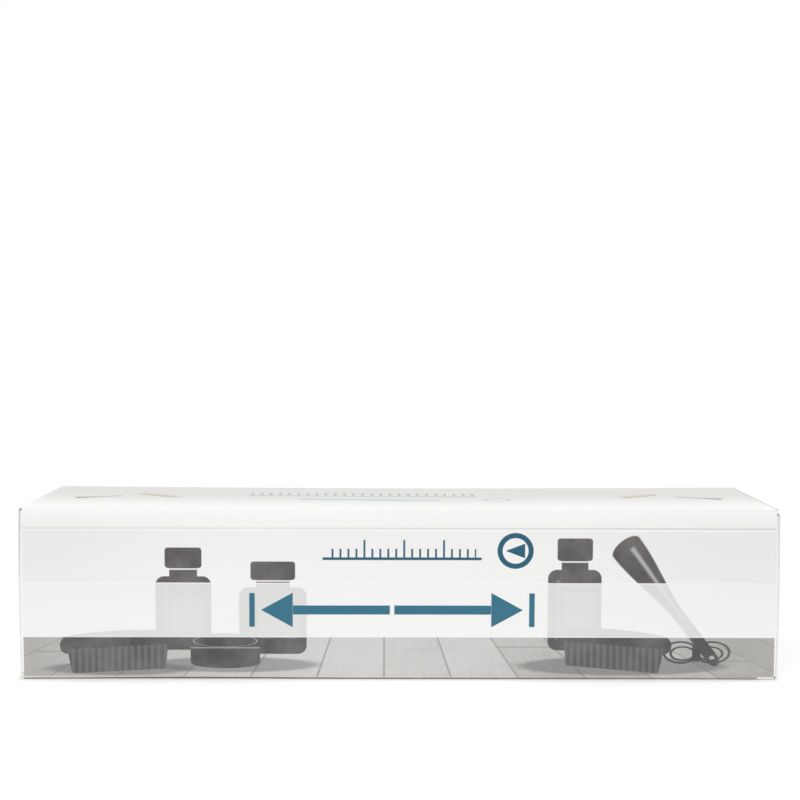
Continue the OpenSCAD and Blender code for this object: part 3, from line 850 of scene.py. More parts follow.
def lathe(outline: Sequence[Pair], centre: Point, axis: Point, steps: int = 64) -> Shape:
    """Turn an outline of (along, radius) points in mm about an axis through a centre."""
    bm = bmesh.new()
    line = Vector(axis).normalized()
    side = line.orthogonal().normalized()
    spots = [bm.verts.new(at(*centre) + (line * along + side * radius) * MM) for along, radius in outline]
    edges = [bm.edges.new(pair) for pair in zip(spots, spots[1:])]
    bmesh.ops.spin(bm, geom=spots + edges, cent=at(*centre), axis=line, dvec=(0, 0, 0), angle=math.tau,
                   steps=steps, use_merge=True, use_duplicate=False)
    settle(bm, 0.002)
    return bm


def rod_between(start: Point, end: Point, radius: float, far_radius: float | None = None) -> Shape:
    """A closed cylinder or cone between two points in mm."""
    far = radius if far_radius is None else far_radius
    reach = Vector(end) - Vector(start)
    outline = [(0.0, 0.0), (0.0, radius), (reach.length, far), (reach.length, 0.0)]
    return lathe(outline, start, tuple(reach), 48)


def prism(outline: Sequence[Pair], low: float, high: float) -> Shape:
    """An outline in X and Y, extruded between two heights in mm."""
    bm = bmesh.new()
    face = bm.faces.new([bm.verts.new(at(x, y, low)) for x, y in outline])
    raised = bmesh.ops.extrude_face_region(bm, geom=[face])["geom"]
    tops = [item for item in raised if isinstance(item, bmesh.types.BMVert)]
    bmesh.ops.translate(bm, verts=tops, vec=at(0, 0, high - low))
    bmesh.ops.recalc_face_normals(bm, faces=bm.faces)
    return bm


def block(low: Point, high: Point) -> Shape:
    """A box between two corners in mm."""
    corners = [(low[0], low[1]), (high[0], low[1]), (high[0], high[1]), (low[0], high[1])]
    return prism(corners, low[2], high[2])


def sheet(spans: tuple[int, int], place: Callable[[float, float], Vector], towards: Point) -> Shape:
    """A grid whose points are placed by two shares from 0 to 1, faced towards a direction.

    Args:
        spans: number of divisions each way.
        place: gives the place in mm for the two shares.
        towards: direction that most of the faces look in.

    Returns:
        The open sheet.
    """
    bm = bmesh.new()
    bmesh.ops.create_grid(bm, x_segments=spans[0], y_segments=spans[1], size=0.5)
    for vert in bm.verts:
        vert.co = place(vert.co.x + 0.5, vert.co.y + 0.5) * MM
    bm.normal_update()
    lean = sum((face.normal * face.calc_area() for face in bm.faces), Vector())
    if lean.dot(Vector(towards)) < 0:
        bmesh.ops.reverse_faces(bm, faces=bm.faces)
    return bm


def sweep(points: Sequence[Vector], radius: float, sides: int) -> Shape:
    """A round wire along points in mm, one extruded ring for each."""
    bm = bmesh.new()
    steps = [(b - a).normalized() for a, b in zip(points, points[1:])]
    heading = steps[0]
    turn = heading.to_track_quat("Z", "X").to_matrix().to_4x4()
    ring = bmesh.ops.create_circle(bm, cap_ends=True, segments=sides, radius=radius * MM,
                                   matrix=Matrix.Translation(points[0] * MM) @ turn)["verts"]
    edges = list({edge for vert in ring for edge in vert.link_edges})
    for start, end, step, after in zip(points, points[1:], steps, [*steps[1:], steps[-1]]):
        grown = bmesh.ops.extrude_edge_only(bm, edges=edges)["geom"]
        verts = [item for item in grown if isinstance(item, bmesh.types.BMVert)]
        edges = [item for item in grown if isinstance(item, bmesh.types.BMEdge)]
        bmesh.ops.translate(bm, verts=verts, vec=(end - start) * MM)
        aim = (step + after).normalized()
        bmesh.ops.rotate(bm, verts=verts, cent=end * MM, matrix=heading.rotation_difference(aim).to_matrix())
        heading = aim
    bmesh.ops.holes_fill(bm, edges=edges, sides=0)
    bmesh.ops.recalc_face_normals(bm, faces=bm.faces)
    return bm


def eased(node: str, finish: "Finish", ease: float, segments: int = 2) -> Piece:
    """Stand a copy of a CAD node in its place, with its sharp edges broken.

    Args:
        node: the CAD node.
        finish: its finish.
        ease: width of the eased edges in mm.
        segments: faces across each eased edge.

    Returns:
        The new piece.
    """
    source = frame["nodes"][node]
    bm = bmesh.new()
    bm.from_mesh(source.data)
    bmesh.ops.remove_doubles(bm, verts=bm.verts, dist=0.001 * MM)
    bmesh.ops.dissolve_limit(bm, angle_limit=math.radians(1.0), use_dissolve_boundaries=False,
                             verts=bm.verts, edges=bm.edges, delimit=set())
    sharp = [edge for edge in bm.edges if edge.is_manifold and edge.calc_face_angle() > math.radians(40)]
    bmesh.ops.bevel(bm, geom=sharp, offset=ease * MM, offset_type="OFFSET", segments=segments, profile=0.5,
                    affect="EDGES", clamp_overlap=True, material=-1)
    bmesh.ops.remove_doubles(bm, verts=bm.verts, dist=0.001 * MM)
    return hand_over(plain_object(f"{node}_eased", bm), finish, source["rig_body"], [node])


def slotted(outline: Sequence[Pair], spot: Point, into: Point, degrees: float, reach: float,
            half: float) -> tuple[Shape, Shape]:
    """A screw and the bar that cuts its slot.

    Args:
        outline: the screw's outline from the face of its head.
        spot: middle of that face.
        into: direction that the screw goes in.
        degrees: turn of the slot.
        reach: half the length of the bar.
        half: half the width of the slot.

    Returns:
        The screw and the bar.
    """
    deep = 0.6
    bar = block((-reach, -half, -deep), (reach, half, deep))
    turn = Vector(into).to_track_quat("Z", "X").to_matrix().to_4x4()
    spin = Matrix.Rotation(math.radians(degrees), 4, "Z")
    bmesh.ops.transform(bar, matrix=Matrix.Translation(at(*spot)) @ turn @ spin, verts=bar.verts)
    return lathe(outline, spot, into, 40), bar


def cut_set(name: str, pairs: Iterable[tuple[Shape, Shape]], finish: "Finish", body: str, node: str) -> None:
    """Hand over small parts, each cut by a shape of its own, as one piece."""
    whole = bmesh.new()
    for solid, tool in pairs:
        part = plain_object("part", solid)
        carve(part, [tool])
        whole.from_mesh(part.data)
        bpy.data.objects.remove(part)
    hand_over(plain_object(name, whole), finish, body, [node])


# Carton


@dataclass
class Sleeve:
    """The four panels of the carton, folded from one blank.

    Attributes:
        fold: width of the soft creases.
        corner_step: how far the front and back panels end short of the top and bottom.
        back_sag, lid_sag: how far the back edge and the middle of the top give way.
        face_bow: how far the front and back panels bow in.
        foot_lift: how far the front bottom edge lifts.
    """

    half_x: float = 190.0
    half_y: float = 50.0
    height: float = 87.0
    board: float = 0.6
    fold: float = 1.2
    corner_step: float = 0.6
    back_sag: float = 0.9
    lid_sag: float = 1.5
    face_bow: float = 0.7
    foot_lift: float = 1.25

    def blank(self) -> Shape:
        """Fold the tube with soft creases and divide it for its sags."""
        bm = bmesh.new()
        bmesh.ops.create_cube(bm, size=1.0)
        bmesh.ops.scale(bm, verts=bm.verts, vec=at(2 * self.half_x, 2 * self.half_y, self.height))
        bmesh.ops.translate(bm, verts=bm.verts, vec=at(0, 0, self.height / 2))
        ends = [face for face in bm.faces if abs(face.normal.x) > 0.9]
        bmesh.ops.delete(bm, geom=ends, context="FACES_ONLY")
        creases = [edge for edge in bm.edges
                   if abs(edge.verts[0].co.x - edge.verts[1].co.x) > self.half_x * MM]
        bmesh.ops.bevel(bm, geom=creases, offset=self.fold * MM, offset_type="OFFSET", segments=6,
                        profile=0.5, affect="EDGES", clamp_overlap=True, material=-1)
        near_ends = [sign * (self.half_x - inset) for inset in (0.8, 4.0) for sign in (-1, 1)]
        for x in [*near_ends, *range(-182, 183, 7)]:
            self.cut(bm, (x, 0, 0), (1, 0, 0))
        for step in range(1, 12):
            self.cut(bm, (0, 0, self.height * step / 12), (0, 0, 1))
            self.cut(bm, (0, self.half_y * (step / 6 - 1), 0), (0, 1, 0))
        return bm

    @staticmethod
    def cut(bm: Shape, spot: Point, normal: Point) -> None:
        """Divide the mesh where a plane crosses it."""
        bmesh.ops.bisect_plane(bm, geom=bm.verts[:] + bm.edges[:] + bm.faces[:], plane_co=at(*spot),
                               plane_no=normal, dist=0.01 * MM)

    def sag(self, spot: Vector) -> Vector:
        """How far a point of the folded tube gives way, in mm."""
        x, y, z = spot / MM
        middle = max(0.0, 1 - (x / self.half_x) ** 2)
        across = max(0.0, 1 - (y / self.half_y) ** 2)
        behind = max(0.0, y / self.half_y) ** 2
        ahead = max(0.0, -y / self.half_y) ** 2
        up = max(0.0, (z / self.height - 0.55) / 0.45) ** 2
        down = max(0.0, 1 - z / 12) ** 2
        ripple = 0.5 + 0.5 * math.sin(x * 0.043 + 0.8)
        lid = middle * (self.lid_sag * across * (0.75 + 0.25 * ripple) + self.back_sag * behind)
        side = math.sin(math.pi * min(max(z / self.height, 0.0), 1.0))
        bow = -math.copysign(self.face_bow, y) * side * middle ** 0.5 * (0.6 + 0.4 * ripple)
        shoulder = 0.45 + 0.55 * math.exp(-((x + 115) / 60) ** 2)
        lift = self.foot_lift * shoulder * ahead * middle ** 0.5
        return Vector((0, bow if abs(y) > self.half_y - 1.3 else 0, lift * down - lid * up))

    def build(self) -> None:
        """Make the sleeve, and give the glue flap its bare board."""
        bm = self.blank()
        for vert in bm.verts:
            on_side = abs(vert.co.y) > (self.half_y - 0.5) * MM
            if on_side and abs(vert.co.x) > (self.half_x - 0.1) * MM:
                vert.co.x -= math.copysign(self.corner_step * MM, vert.co.x)
            vert.co += self.sag(vert.co) * MM
        bm.normal_update()
        sleeve = plain_object("carton_sleeve", bm)
        wall_up(sleeve, self.board, [Finish.PRINT, Finish.INSIDE, Finish.EDGE])
        panels = [f"{word}_panel" for word in ("front", "back", "top", "bottom")]
        hand_over(sleeve, Finish.PRINT, "carton", panels)
        flap = frame["nodes"]["glue_flap"]
        flap.data.materials.clear()
        flap.data.materials.append(Finish.INSIDE.material)


@dataclass
class EndClosure:
    """Main flap, tuck flange and two dust flaps of one end, drawn for a crease at the bottom right.

    Attributes:
        side: 1 for the right end, -1 for the left end, which is the right one turned about Y.
        dust_slope: bevel of the dust flaps on the side of the main crease.
        bow: how far the main flap bows out.
        press: how far the dust flaps are pressed out against the main flap.
        roll, flange_roll, dust_roll: radius of each flap's crease.
        tuck_x: how far in the tuck flange reaches.
        crease_shares: share of the rows round the creases of the main, tuck and dust flaps.
    """

    side: int
    dust_slope: float
    bow: float = 0.75
    press: float = 0.26
    end_x: float = 190.0
    height: float = 87.0
    roll: float = 0.9
    flange_roll: float = 0.8
    flap_len: float = 85.0
    flap_half: float = 49.9
    flange_half: float = 46.4
    flange_corner: float = 7.0
    tuck_x: float = 178.25
    dust_len: float = 36.0
    dust_low: float = 1.5
    dust_high: float = 83.6
    dust_corner: float = 6.0
    dust_roll: float = 0.6
    half_y: float = 50.0
    board: float = 0.6
    crease_shares: tuple = (0.12, 0.3, 0.15)

    @property
    def name(self) -> str:
        """Name of the end."""
        return "right" if self.side > 0 else "left"

    def placed(self, x: float, y: float, z: float) -> Vector:
        """Place of a point on this end."""
        return Vector((x, y, z)) if self.side > 0 else Vector((-x, y, self.height - z))

    def facing(self, x: float, y: float, z: float) -> Point:
        """Direction on this end."""
        return (self.side * x, y, self.side * z)

    def bow_at(self, z: float) -> float:
        """How far the main flap stands out at a height."""
        share = min(max(z / self.flap_len, 0.0), 1.0)
        return self.bow * math.sin(math.pi * share ** 0.9)

    @staticmethod
    def run_along(along: float, share: float, arc: float, flat: float) -> float:
        """Distance along a flap, of which one share of the rows goes round the crease's arc."""
        return arc * along / share if along < share else arc + flat * (along - share) / (1 - share)

    def main_point(self, along: float, across: float) -> Vector:
        """Place on the main flap: round the crease, then up the end."""
        arc = self.roll * math.pi / 2
        run = self.run_along(along, self.crease_shares[0], arc, self.flap_len - self.roll - self.flange_roll)
        y = (across * 2 - 1) * self.flap_half
        if run < arc:
            angle = run / self.roll
            return self.placed(self.end_x + self.roll * math.sin(angle), y, self.roll * (1 - math.cos(angle)))
        z = self.roll + run - arc
        swell = self.bow_at(z) * (1 - 0.25 * (y / self.flap_half) ** 2)
        return self.placed(self.end_x + self.roll + swell, y, z)

    def flange_point(self, along: float, across: float) -> Vector:
        """Place on the tuck flange: round its crease, then in under the panel."""
        r = self.flange_roll
        arc = r * math.pi / 2
        centre = self.end_x + self.roll - r
        reach = centre - self.tuck_x
        run = self.run_along(along, self.crease_shares[1], arc, reach)
        left = max(0.0, self.flange_corner - (arc + reach - run))
        rounded = math.sqrt(max(0.0, self.flange_corner ** 2 - left ** 2))
        y = (across * 2 - 1) * (self.flange_half - self.flange_corner + rounded)
        if run < arc:
            angle = run / r
            z = self.flap_len - r + r * math.sin(angle)
            swell = self.bow_at(z) * (1 - angle / (math.pi / 2))
            return self.placed(centre + r * math.cos(angle) + swell, y, z)
        return self.placed(centre - (run - arc), y, self.flap_len)

    def dust_point(self, along: float, across: float, front: int) -> Vector:
        """Place on a dust flap: round the corner of its panel, then along the end."""
        r = self.dust_roll
        arc = r * math.pi / 2
        run = self.run_along(along, self.crease_shares[2], arc, self.dust_len)
        past = max(0.0, run - arc)
        low = self.dust_low + self.dust_slope * past
        high = self.dust_high - max(0.0, past - (self.dust_len - self.dust_corner))
        z = low + (high - low) * across
        angle = min(run / r, math.pi / 2)
        swell = self.bow_at(z if self.side > 0 else self.height - z) + self.press
        x = self.end_x - r + (r + swell) * math.sin(angle)
        y = self.half_y - r * (1 - math.cos(angle)) - past
        return self.placed(x, y * front, z)

    def board_up(self, name: str, bm: Shape, node: str, bodies: tuple[str, str], start: Point,
                 end: Point) -> None:
        """Make one flap of board.

        Args:
            name: name of the piece.
            bm: its outer face.
            node: the CAD node that it stands for.
            bodies: the body that would carry it and its own; the flap is attached to neither.
            start: where it would leave the first body, drawn for the right end.
            end: where it would follow the second.
        """
        flap = plain_object(f"{self.name}_{name}_board", bm)
        wall_up(flap, self.board, [Finish.END, Finish.INSIDE, Finish.EDGE])
        bend = (*bodies, self.placed(*start) * MM, self.placed(*end) * MM)
        hand_over(flap, Finish.END, bend, [f"{self.name}_{node}"])

    def build(self) -> None:
        """Make the end's four flaps, each bent off the board that carries it."""
        main, flange = f"{self.name}_flap", f"{self.name}_flange"
        edge, inner, corner = self.end_x + self.roll, self.flange_roll, self.dust_roll
        middle = self.height / 2 - 0.5
        self.board_up("flap", sheet((46, 24), self.main_point, self.facing(1, 0, 0)), "main_flap",
                      ("carton", main), (self.end_x, 0, 0), (edge, 0, self.roll))
        self.board_up("tuck", sheet((30, 30), self.flange_point, self.facing(0.3, 0, 1)), "tuck_flange",
                      (main, flange), (edge, 0, self.flap_len - inner), (edge - inner, 0, self.flap_len))
        for front, word in ((-1, "front"), (1, "back")):
            face = sheet((28, 14), lambda u, v: self.dust_point(u, v, front), self.facing(1, 0, 0))
            self.board_up(f"{word}_dust", face, f"{word}_dust_flap", ("carton", f"{self.name}_{word}_dust"),
                          (self.end_x - corner, front * self.half_y, middle),
                          (self.end_x, front * (self.half_y - corner), middle))


# Stretcher


@dataclass
class ToeForm:
    """The split beech form with its pocket, grooves and holes.

    Attributes:
        heel_round, toe_round: length over which each end closes in.
        toe_lift, toe_drop: how far the sole rises and the top falls at the toe.
        wide_share: height of the widest line, as a share of the section.
        slit: half the gap between the halves.
        stations: distance from the heel, with shares of the width, the sole's height and the height.
        leaf_z: foot of the hinge leaf of the left half and of the right one.
        pocket, pocket_z: outline of the room for the wedge, and its floor and roof.
        spring: place and height of the return spring.
        anchor, plug: foot of the spring anchor and face of the plug's seat, on the left half.
        spares: spare plug holes, with the form's half width at each.
    """

    heel_x: float = 10.0
    length: float = 174.0
    half_w: float = 35.0
    height: float = 55.0
    sole_z: float = 2.0
    heel_round: float = 3.0
    toe_round: float = 34.0
    toe_lift: float = 7.0
    toe_drop: float = 11.0
    wide_share: float = 0.4
    slit: float = 0.6
    pin_x: float = 176.0
    around: int = 112
    along: int = 120
    heel_part: float = 0.08
    stations: tuple = ((0, 0.66, 1, 1.00), (30, 0.71, 0.5, 1.02), (60, 0.82, 0, 0.93), (90, 0.95, 0, 0.78),
                       (112, 1.00, 0, 0.67), (135, 0.97, 0.4, 0.59), (155, 0.90, 1.6, 0.55),
                       (174, 0.80, 3.5, 0.53))
    leaf_x: float = 130.8
    leaf_z: dict = field(default_factory=lambda: {1: 7.2, -1: 17.8})
    pocket: tuple = ((0, -1), (0, 16.5), (44, 16.5), (66, 6.8), (98, 6.8), (98, -1))
    pocket_z: Pair = (12, 40.5)
    spring: Pair = (26, 46.5)
    anchor: Point = (26, 12.5, 40.4)
    plug: Point = (122, 34.1, 20)
    plug_r: float = 10.0
    plug_crown: float = 6.5
    hole_r: float = 3.0
    spares: tuple = ((102, 22, 33.6), (142, 17, 32.6))

    def column(self, x: float, c: int) -> float:
        """Smooth value of one column of the stations at x."""
        rows = self.stations
        last = len(rows) - 1
        i = max(k for k in range(last) if rows[k][0] <= x or k == 0)

        def slope(k: int) -> float:
            """Slope at one station."""
            before, after = rows[max(k - 1, 0)], rows[min(k + 1, last)]
            return (after[c] - before[c]) / (after[0] - before[0])

        d = rows[i + 1][0] - rows[i][0]
        t = (x - rows[i][0]) / d
        return ((2 * t ** 3 - 3 * t ** 2 + 1) * rows[i][c] + (t ** 3 - 2 * t ** 2 + t) * d * slope(i)
                + (3 * t ** 2 - 2 * t ** 3) * rows[i + 1][c] + (t ** 3 - t ** 2) * d * slope(i + 1))

    def skin(self, along: float, around: float) -> Vector:
        """Place on the whole form's skin."""
        if along < self.heel_part:
            x = self.heel_round * (1 - math.cos(math.pi / 2 * along / self.heel_part))
        else:
            t = (along - self.heel_part) / (1 - self.heel_part)
            x = self.heel_round + (self.length - self.heel_round) * math.sin(math.pi / 2 * t)
        x = min(x, self.length)
        fall = max(0.0, (x - (self.length - self.toe_round)) / self.toe_round)
        heel = max(0.0, 1 - x / self.heel_round)
        inset = self.heel_round * (1 - math.sqrt(1 - heel ** 2))
        wide = self.half_w * self.column(x, 1) * math.sqrt(max(0.0004, 1 - fall ** 2.2)) - inset
        rise = self.toe_lift * (1 - math.sqrt(max(0, 1 - fall ** 5)))
        drop = self.toe_drop * (1 - math.sqrt(max(0, 1 - fall ** 3.5)))
        low = self.sole_z + self.column(x, 2) + inset + rise
        high = self.sole_z + self.height * self.column(x, 3) - inset - drop
        angle = math.tau * around
        c, s = math.cos(angle), math.sin(angle)
        flank, crown = (0.75, 0.85) if s >= 0 else (0.55, 0.6)
        middle = low + self.wide_share * (high - low)
        reach = high - middle if s >= 0 else middle - low
        return Vector((self.heel_x + x, wide * math.copysign(abs(c) ** flank, c),
                       middle + reach * math.copysign(abs(s) ** crown, s)))

    def cutters(self, side: int) -> Iterable[Shape]:
        """Everything that is cut from one half, drawn for the left one."""
        slit, pin_x, leaf = self.slit, self.pin_x, self.leaf_z[side]
        tip = self.heel_x + self.length + 1
        x, z = self.spring
        # The other half, with a slit that widens past the toe pin.
        yield prism([(0, slit), (pin_x - 4, slit), (tip, 2.1), (tip, -60), (0, -60)], -5, 90)
        # The room for the wedge, the groove for the bar, and the eye of the toe pin.
        yield prism(self.pocket, *self.pocket_z)
        yield block((97, -1, 12), (pin_x, 2.5, 18))
        yield rod_between((pin_x, 0, 6.4), (pin_x, 0, 23.6), 3.9)
        # Seats of the hinge leaf and the wear pad.
        yield block((self.leaf_x, -1, leaf), (pin_x, 2.3, leaf + 5))
        yield block((56, -1, 22), (68, 12.07, 38))
        # The spring's bore and its anchor's hole.
        yield rod_between((x, -1, z), (x, 14.5, z), 4.6)
        yield rod_between(self.anchor, (*self.anchor[:2], 80), 1.3)
        # The plug's hole and seat, and the spare holes with their countersinks.
        x, y, z = self.plug
        yield rod_between((x, y - 11, z), (x, 50, z), self.hole_r)
        yield rod_between((x, y, z), (x, 50, z), self.plug_r + 0.3)
        for x, z, y in self.spares:
            yield rod_between((x, 23, z), (x, 50, z), self.hole_r)
            yield rod_between((x, y - 1.2, z), (x, y + 2.4, z), self.hole_r - 0.4, self.hole_r + 2.6)

    def build(self) -> None:
        """Make both halves, each one cut from the whole form."""
        for side, word in ((1, "left"), (-1, "right")):
            bm = sheet((self.along, self.around), self.skin, (0, 0, 1))
            bmesh.ops.remove_doubles(bm, verts=bm.verts, dist=0.002 * MM)
            rims = [edge for edge in bm.edges if edge.is_boundary]
            bmesh.ops.holes_fill(bm, edges=rims, sides=0)
            bmesh.ops.recalc_face_normals(bm, faces=bm.faces)
            half = plain_object(f"toe_form_{word}", bm)
            carve(half, self.cutters(side))
            if side < 0:
                half.data.transform(Matrix.Scale(-1, 4, (0, 1, 0)))
                half.data.flip_normals()
            hand_over(half, Finish.BEECH, f"half_{word}", [f"form_half_{word}"], 38)
            self.fit_out(side, word)

    def fit_out(self, side: int, word: str) -> None:
        """Add a half's hinge leaf, wear pad, screws, spring anchor and bunion plug."""
        body = f"half_{word}"
        outwards = (0, side, 0)
        eased(f"hinge_leaf_{word}", Finish.PLATE, 0.25)
        eased(f"wear_pad_{word}", Finish.PLATE, 0.35)
        leaf_heads = [(self.leaf_x + run, 0.9 * side, self.leaf_z[side] + 2.5) for run in (16, 30)]
        pad_heads = [(62, 7.0 * side, z) for z in (26, 34)]
        for node, heads, turn, head_r in ((f"hinge_screws_{word}", leaf_heads, 10, 2.1),
                                          (f"pad_screws_{word}", pad_heads, 25, 1.5)):
            outline = [(0, 0), (0, head_r - 0.12), (0.12, head_r), (0.35, head_r), (1.0, 1.5), (10.2, 1.5),
                       (11, 0.6), (11, 0)]
            pairs = (slotted(outline, spot, outwards, turn, head_r + 1, 0.28) for spot in heads)
            cut_set(f"{node}_slotted", pairs, Finish.SCREW, body, node)
        x, y, z = self.anchor
        pin = lathe([(0, 0), (0, 1.0), (0.3, 1.25), (12.3, 1.25), (12.9, 0.8), (12.9, 0)], (x, y * side, z),
                    (0, 0, 1), 32)
        make(f"spring_pin_{word}", pin, Finish.SCREW, body, f"spring_anchor_{word}")
        outline = [(-10, 0), (-10, 2.6), (-9.4, 3.0), (0, 3.0), (0, 9.2), (0.35, 9.8), (1.0, 9.85)]
        cap_r = (self.plug_r ** 2 + self.plug_crown ** 2) / (2 * self.plug_crown)
        steps = 12
        for step in range(1, steps + 1):
            angle = math.asin(9.7 / cap_r) * (1 - step / steps)
            outline.append((self.plug_crown - cap_r * (1 - math.cos(angle)), cap_r * math.sin(angle)))
        x, y, z = self.plug
        make(f"plug_{word}", lathe(outline, (x, y * side, z), outwards, 72), Finish.BEECH, body,
             f"bunion_plug_{word}")


@dataclass
class Spindle:
    """The threaded rod with its knob, ferrule, cross pin and collars.

    Attributes:
        z: height of the axis.
        r: radius of the rod.
        collars: where each collar starts.
        thread_steps: rings of the thread's ridge for each turn.
    """

    z: float = 30.0
    r: float = 4.0
    rod_start: float = -151.0
    knob_x: float = -148.0
    knob_r: float = 13.0
    neck_x: float = -136.0
    neck_r: float = 6.2
    ferrule_len: float = 7.0
    rod_end: float = 96.0
    thread_start: float = 15.0
    pitch: float = 2.0
    thread_depth: float = 0.55
    thread_steps: int = 28
    collars: Pair = (8.3, -18.3)
    collar_len: float = 4.0

    def turn_out(self, outline: Sequence[Pair], x: float, steps: int) -> Shape:
        """Turn an outline about the spindle's axis from a place along it."""
        return lathe(outline, (x, 0, self.z), (1, 0, 0), steps)

    def rod(self) -> Shape:
        """Turn the rod and wind a left-hand thread round its inner part."""
        root = self.r - self.thread_depth
        start, end = self.thread_start, self.rod_end
        bm = self.turn_out([(self.rod_start, 0), (self.rod_start, self.r), (start - 1.2, self.r),
                            (start - 0.4, root), (end - 1.2, root), (end, root - 1), (end, 0)], 0, 64)
        steps = int((end - 2.6 - start) / self.pitch * self.thread_steps)
        base, crest = root - 0.1, self.r - 0.02
        profile = [(0.12, base), (0.75, crest), (1.15, crest), (1.78, base)]
        face = bm.faces.new([bm.verts.new(at(start + x, 0, self.z + radius)) for x, radius in profile])
        bmesh.ops.spin(bm, geom=[face], cent=at(0, 0, self.z), axis=(-1, 0, 0),
                       dvec=at(self.pitch / self.thread_steps, 0, 0),
                       angle=math.tau * steps / self.thread_steps, steps=steps, use_merge=False,
                       use_duplicate=False)
        bmesh.ops.recalc_face_normals(bm, faces=bm.faces)
        return bm

    def knob(self) -> Shape:
        """Turn the round knob with a shallow groove and a filleted neck."""
        outline = [(-self.knob_r, 0.0)]
        groove_depth, groove_at, groove_width = 0.35, 66, 1.6
        for degrees in range(4, 150, 3):
            angle = math.radians(degrees)
            radius = self.knob_r - groove_depth * math.exp(-((degrees - groove_at) / groove_width) ** 2)
            if radius * math.sin(angle) < self.neck_r + 0.5 and degrees > 90:
                break
            outline.append((-radius * math.cos(angle), radius * math.sin(angle)))
        outline += [(11.1, self.neck_r + 0.15), (11.6, self.neck_r), (12.0, self.neck_r), (12.0, 0.0)]
        return self.turn_out(outline, self.knob_x, 96)

    def ferrule(self) -> Shape:
        """Turn the ferrule with a bead at each end and a groove on each side of the pin."""
        outline = [(0, 0), (0, 6.7), (0.25, 7.0), (1.1, 7.0), (1.35, 6.75), (1.7, 6.75), (1.9, 6.95),
                   (5.1, 6.95), (5.3, 6.75), (5.65, 6.75), (5.9, 7.0), (6.75, 7.0), (7.0, 6.7), (7.0, 0)]
        return self.turn_out(outline, self.neck_x, 72)

    def grub(self, x: float) -> tuple[Shape, Shape]:
        """The grub screw of the collar that starts at x, and the hexagon that is cut from it."""
        x += self.collar_len / 2
        outline = [(4.0, 0), (4.0, 1.2), (4.2, 1.45), (6.9, 1.45), (7.1, 1.25), (7.1, 0)]
        socket = bmesh.new()
        bmesh.ops.create_cone(socket, cap_ends=True, segments=6, radius1=0.8 * MM, radius2=0.8 * MM,
                              depth=3 * MM)
        bmesh.ops.rotate(socket, verts=socket.verts, matrix=Matrix.Rotation(math.pi / 2, 3, "X"))
        bmesh.ops.translate(socket, verts=socket.verts, vec=at(x, -7.3, self.z))
        return lathe(outline, (x, 0, self.z), (0, -1, 0), 32), socket

    def build(self) -> None:
        """Make every piece that turns with the knob."""
        make("threaded_rod", self.rod(), Finish.BRIGHT, "spindle", "spindle_rod")
        make("turned_knob", self.knob(), Finish.KNOB, "spindle", "knob")
        make("turned_ferrule", self.ferrule(), Finish.BRASS, "spindle", "knob_ferrule")
        pin = lathe([(-7.0, 0), (-7.0, 0.7), (-6.75, 1.25), (6.75, 1.25), (7.0, 0.7), (7.0, 0)],
                    (self.neck_x + self.ferrule_len / 2, 0, self.z), (0, 0, 1), 32)
        make("cross_pin", pin, Finish.SCREW, "spindle", "knob_pin")
        for collar in ("inner_collar", "outer_collar"):
            eased(collar, Finish.PLATE, 0.4)
        cut_set("grub_screws", map(self.grub, self.collars), Finish.OXIDE, "spindle", "collar_screws")


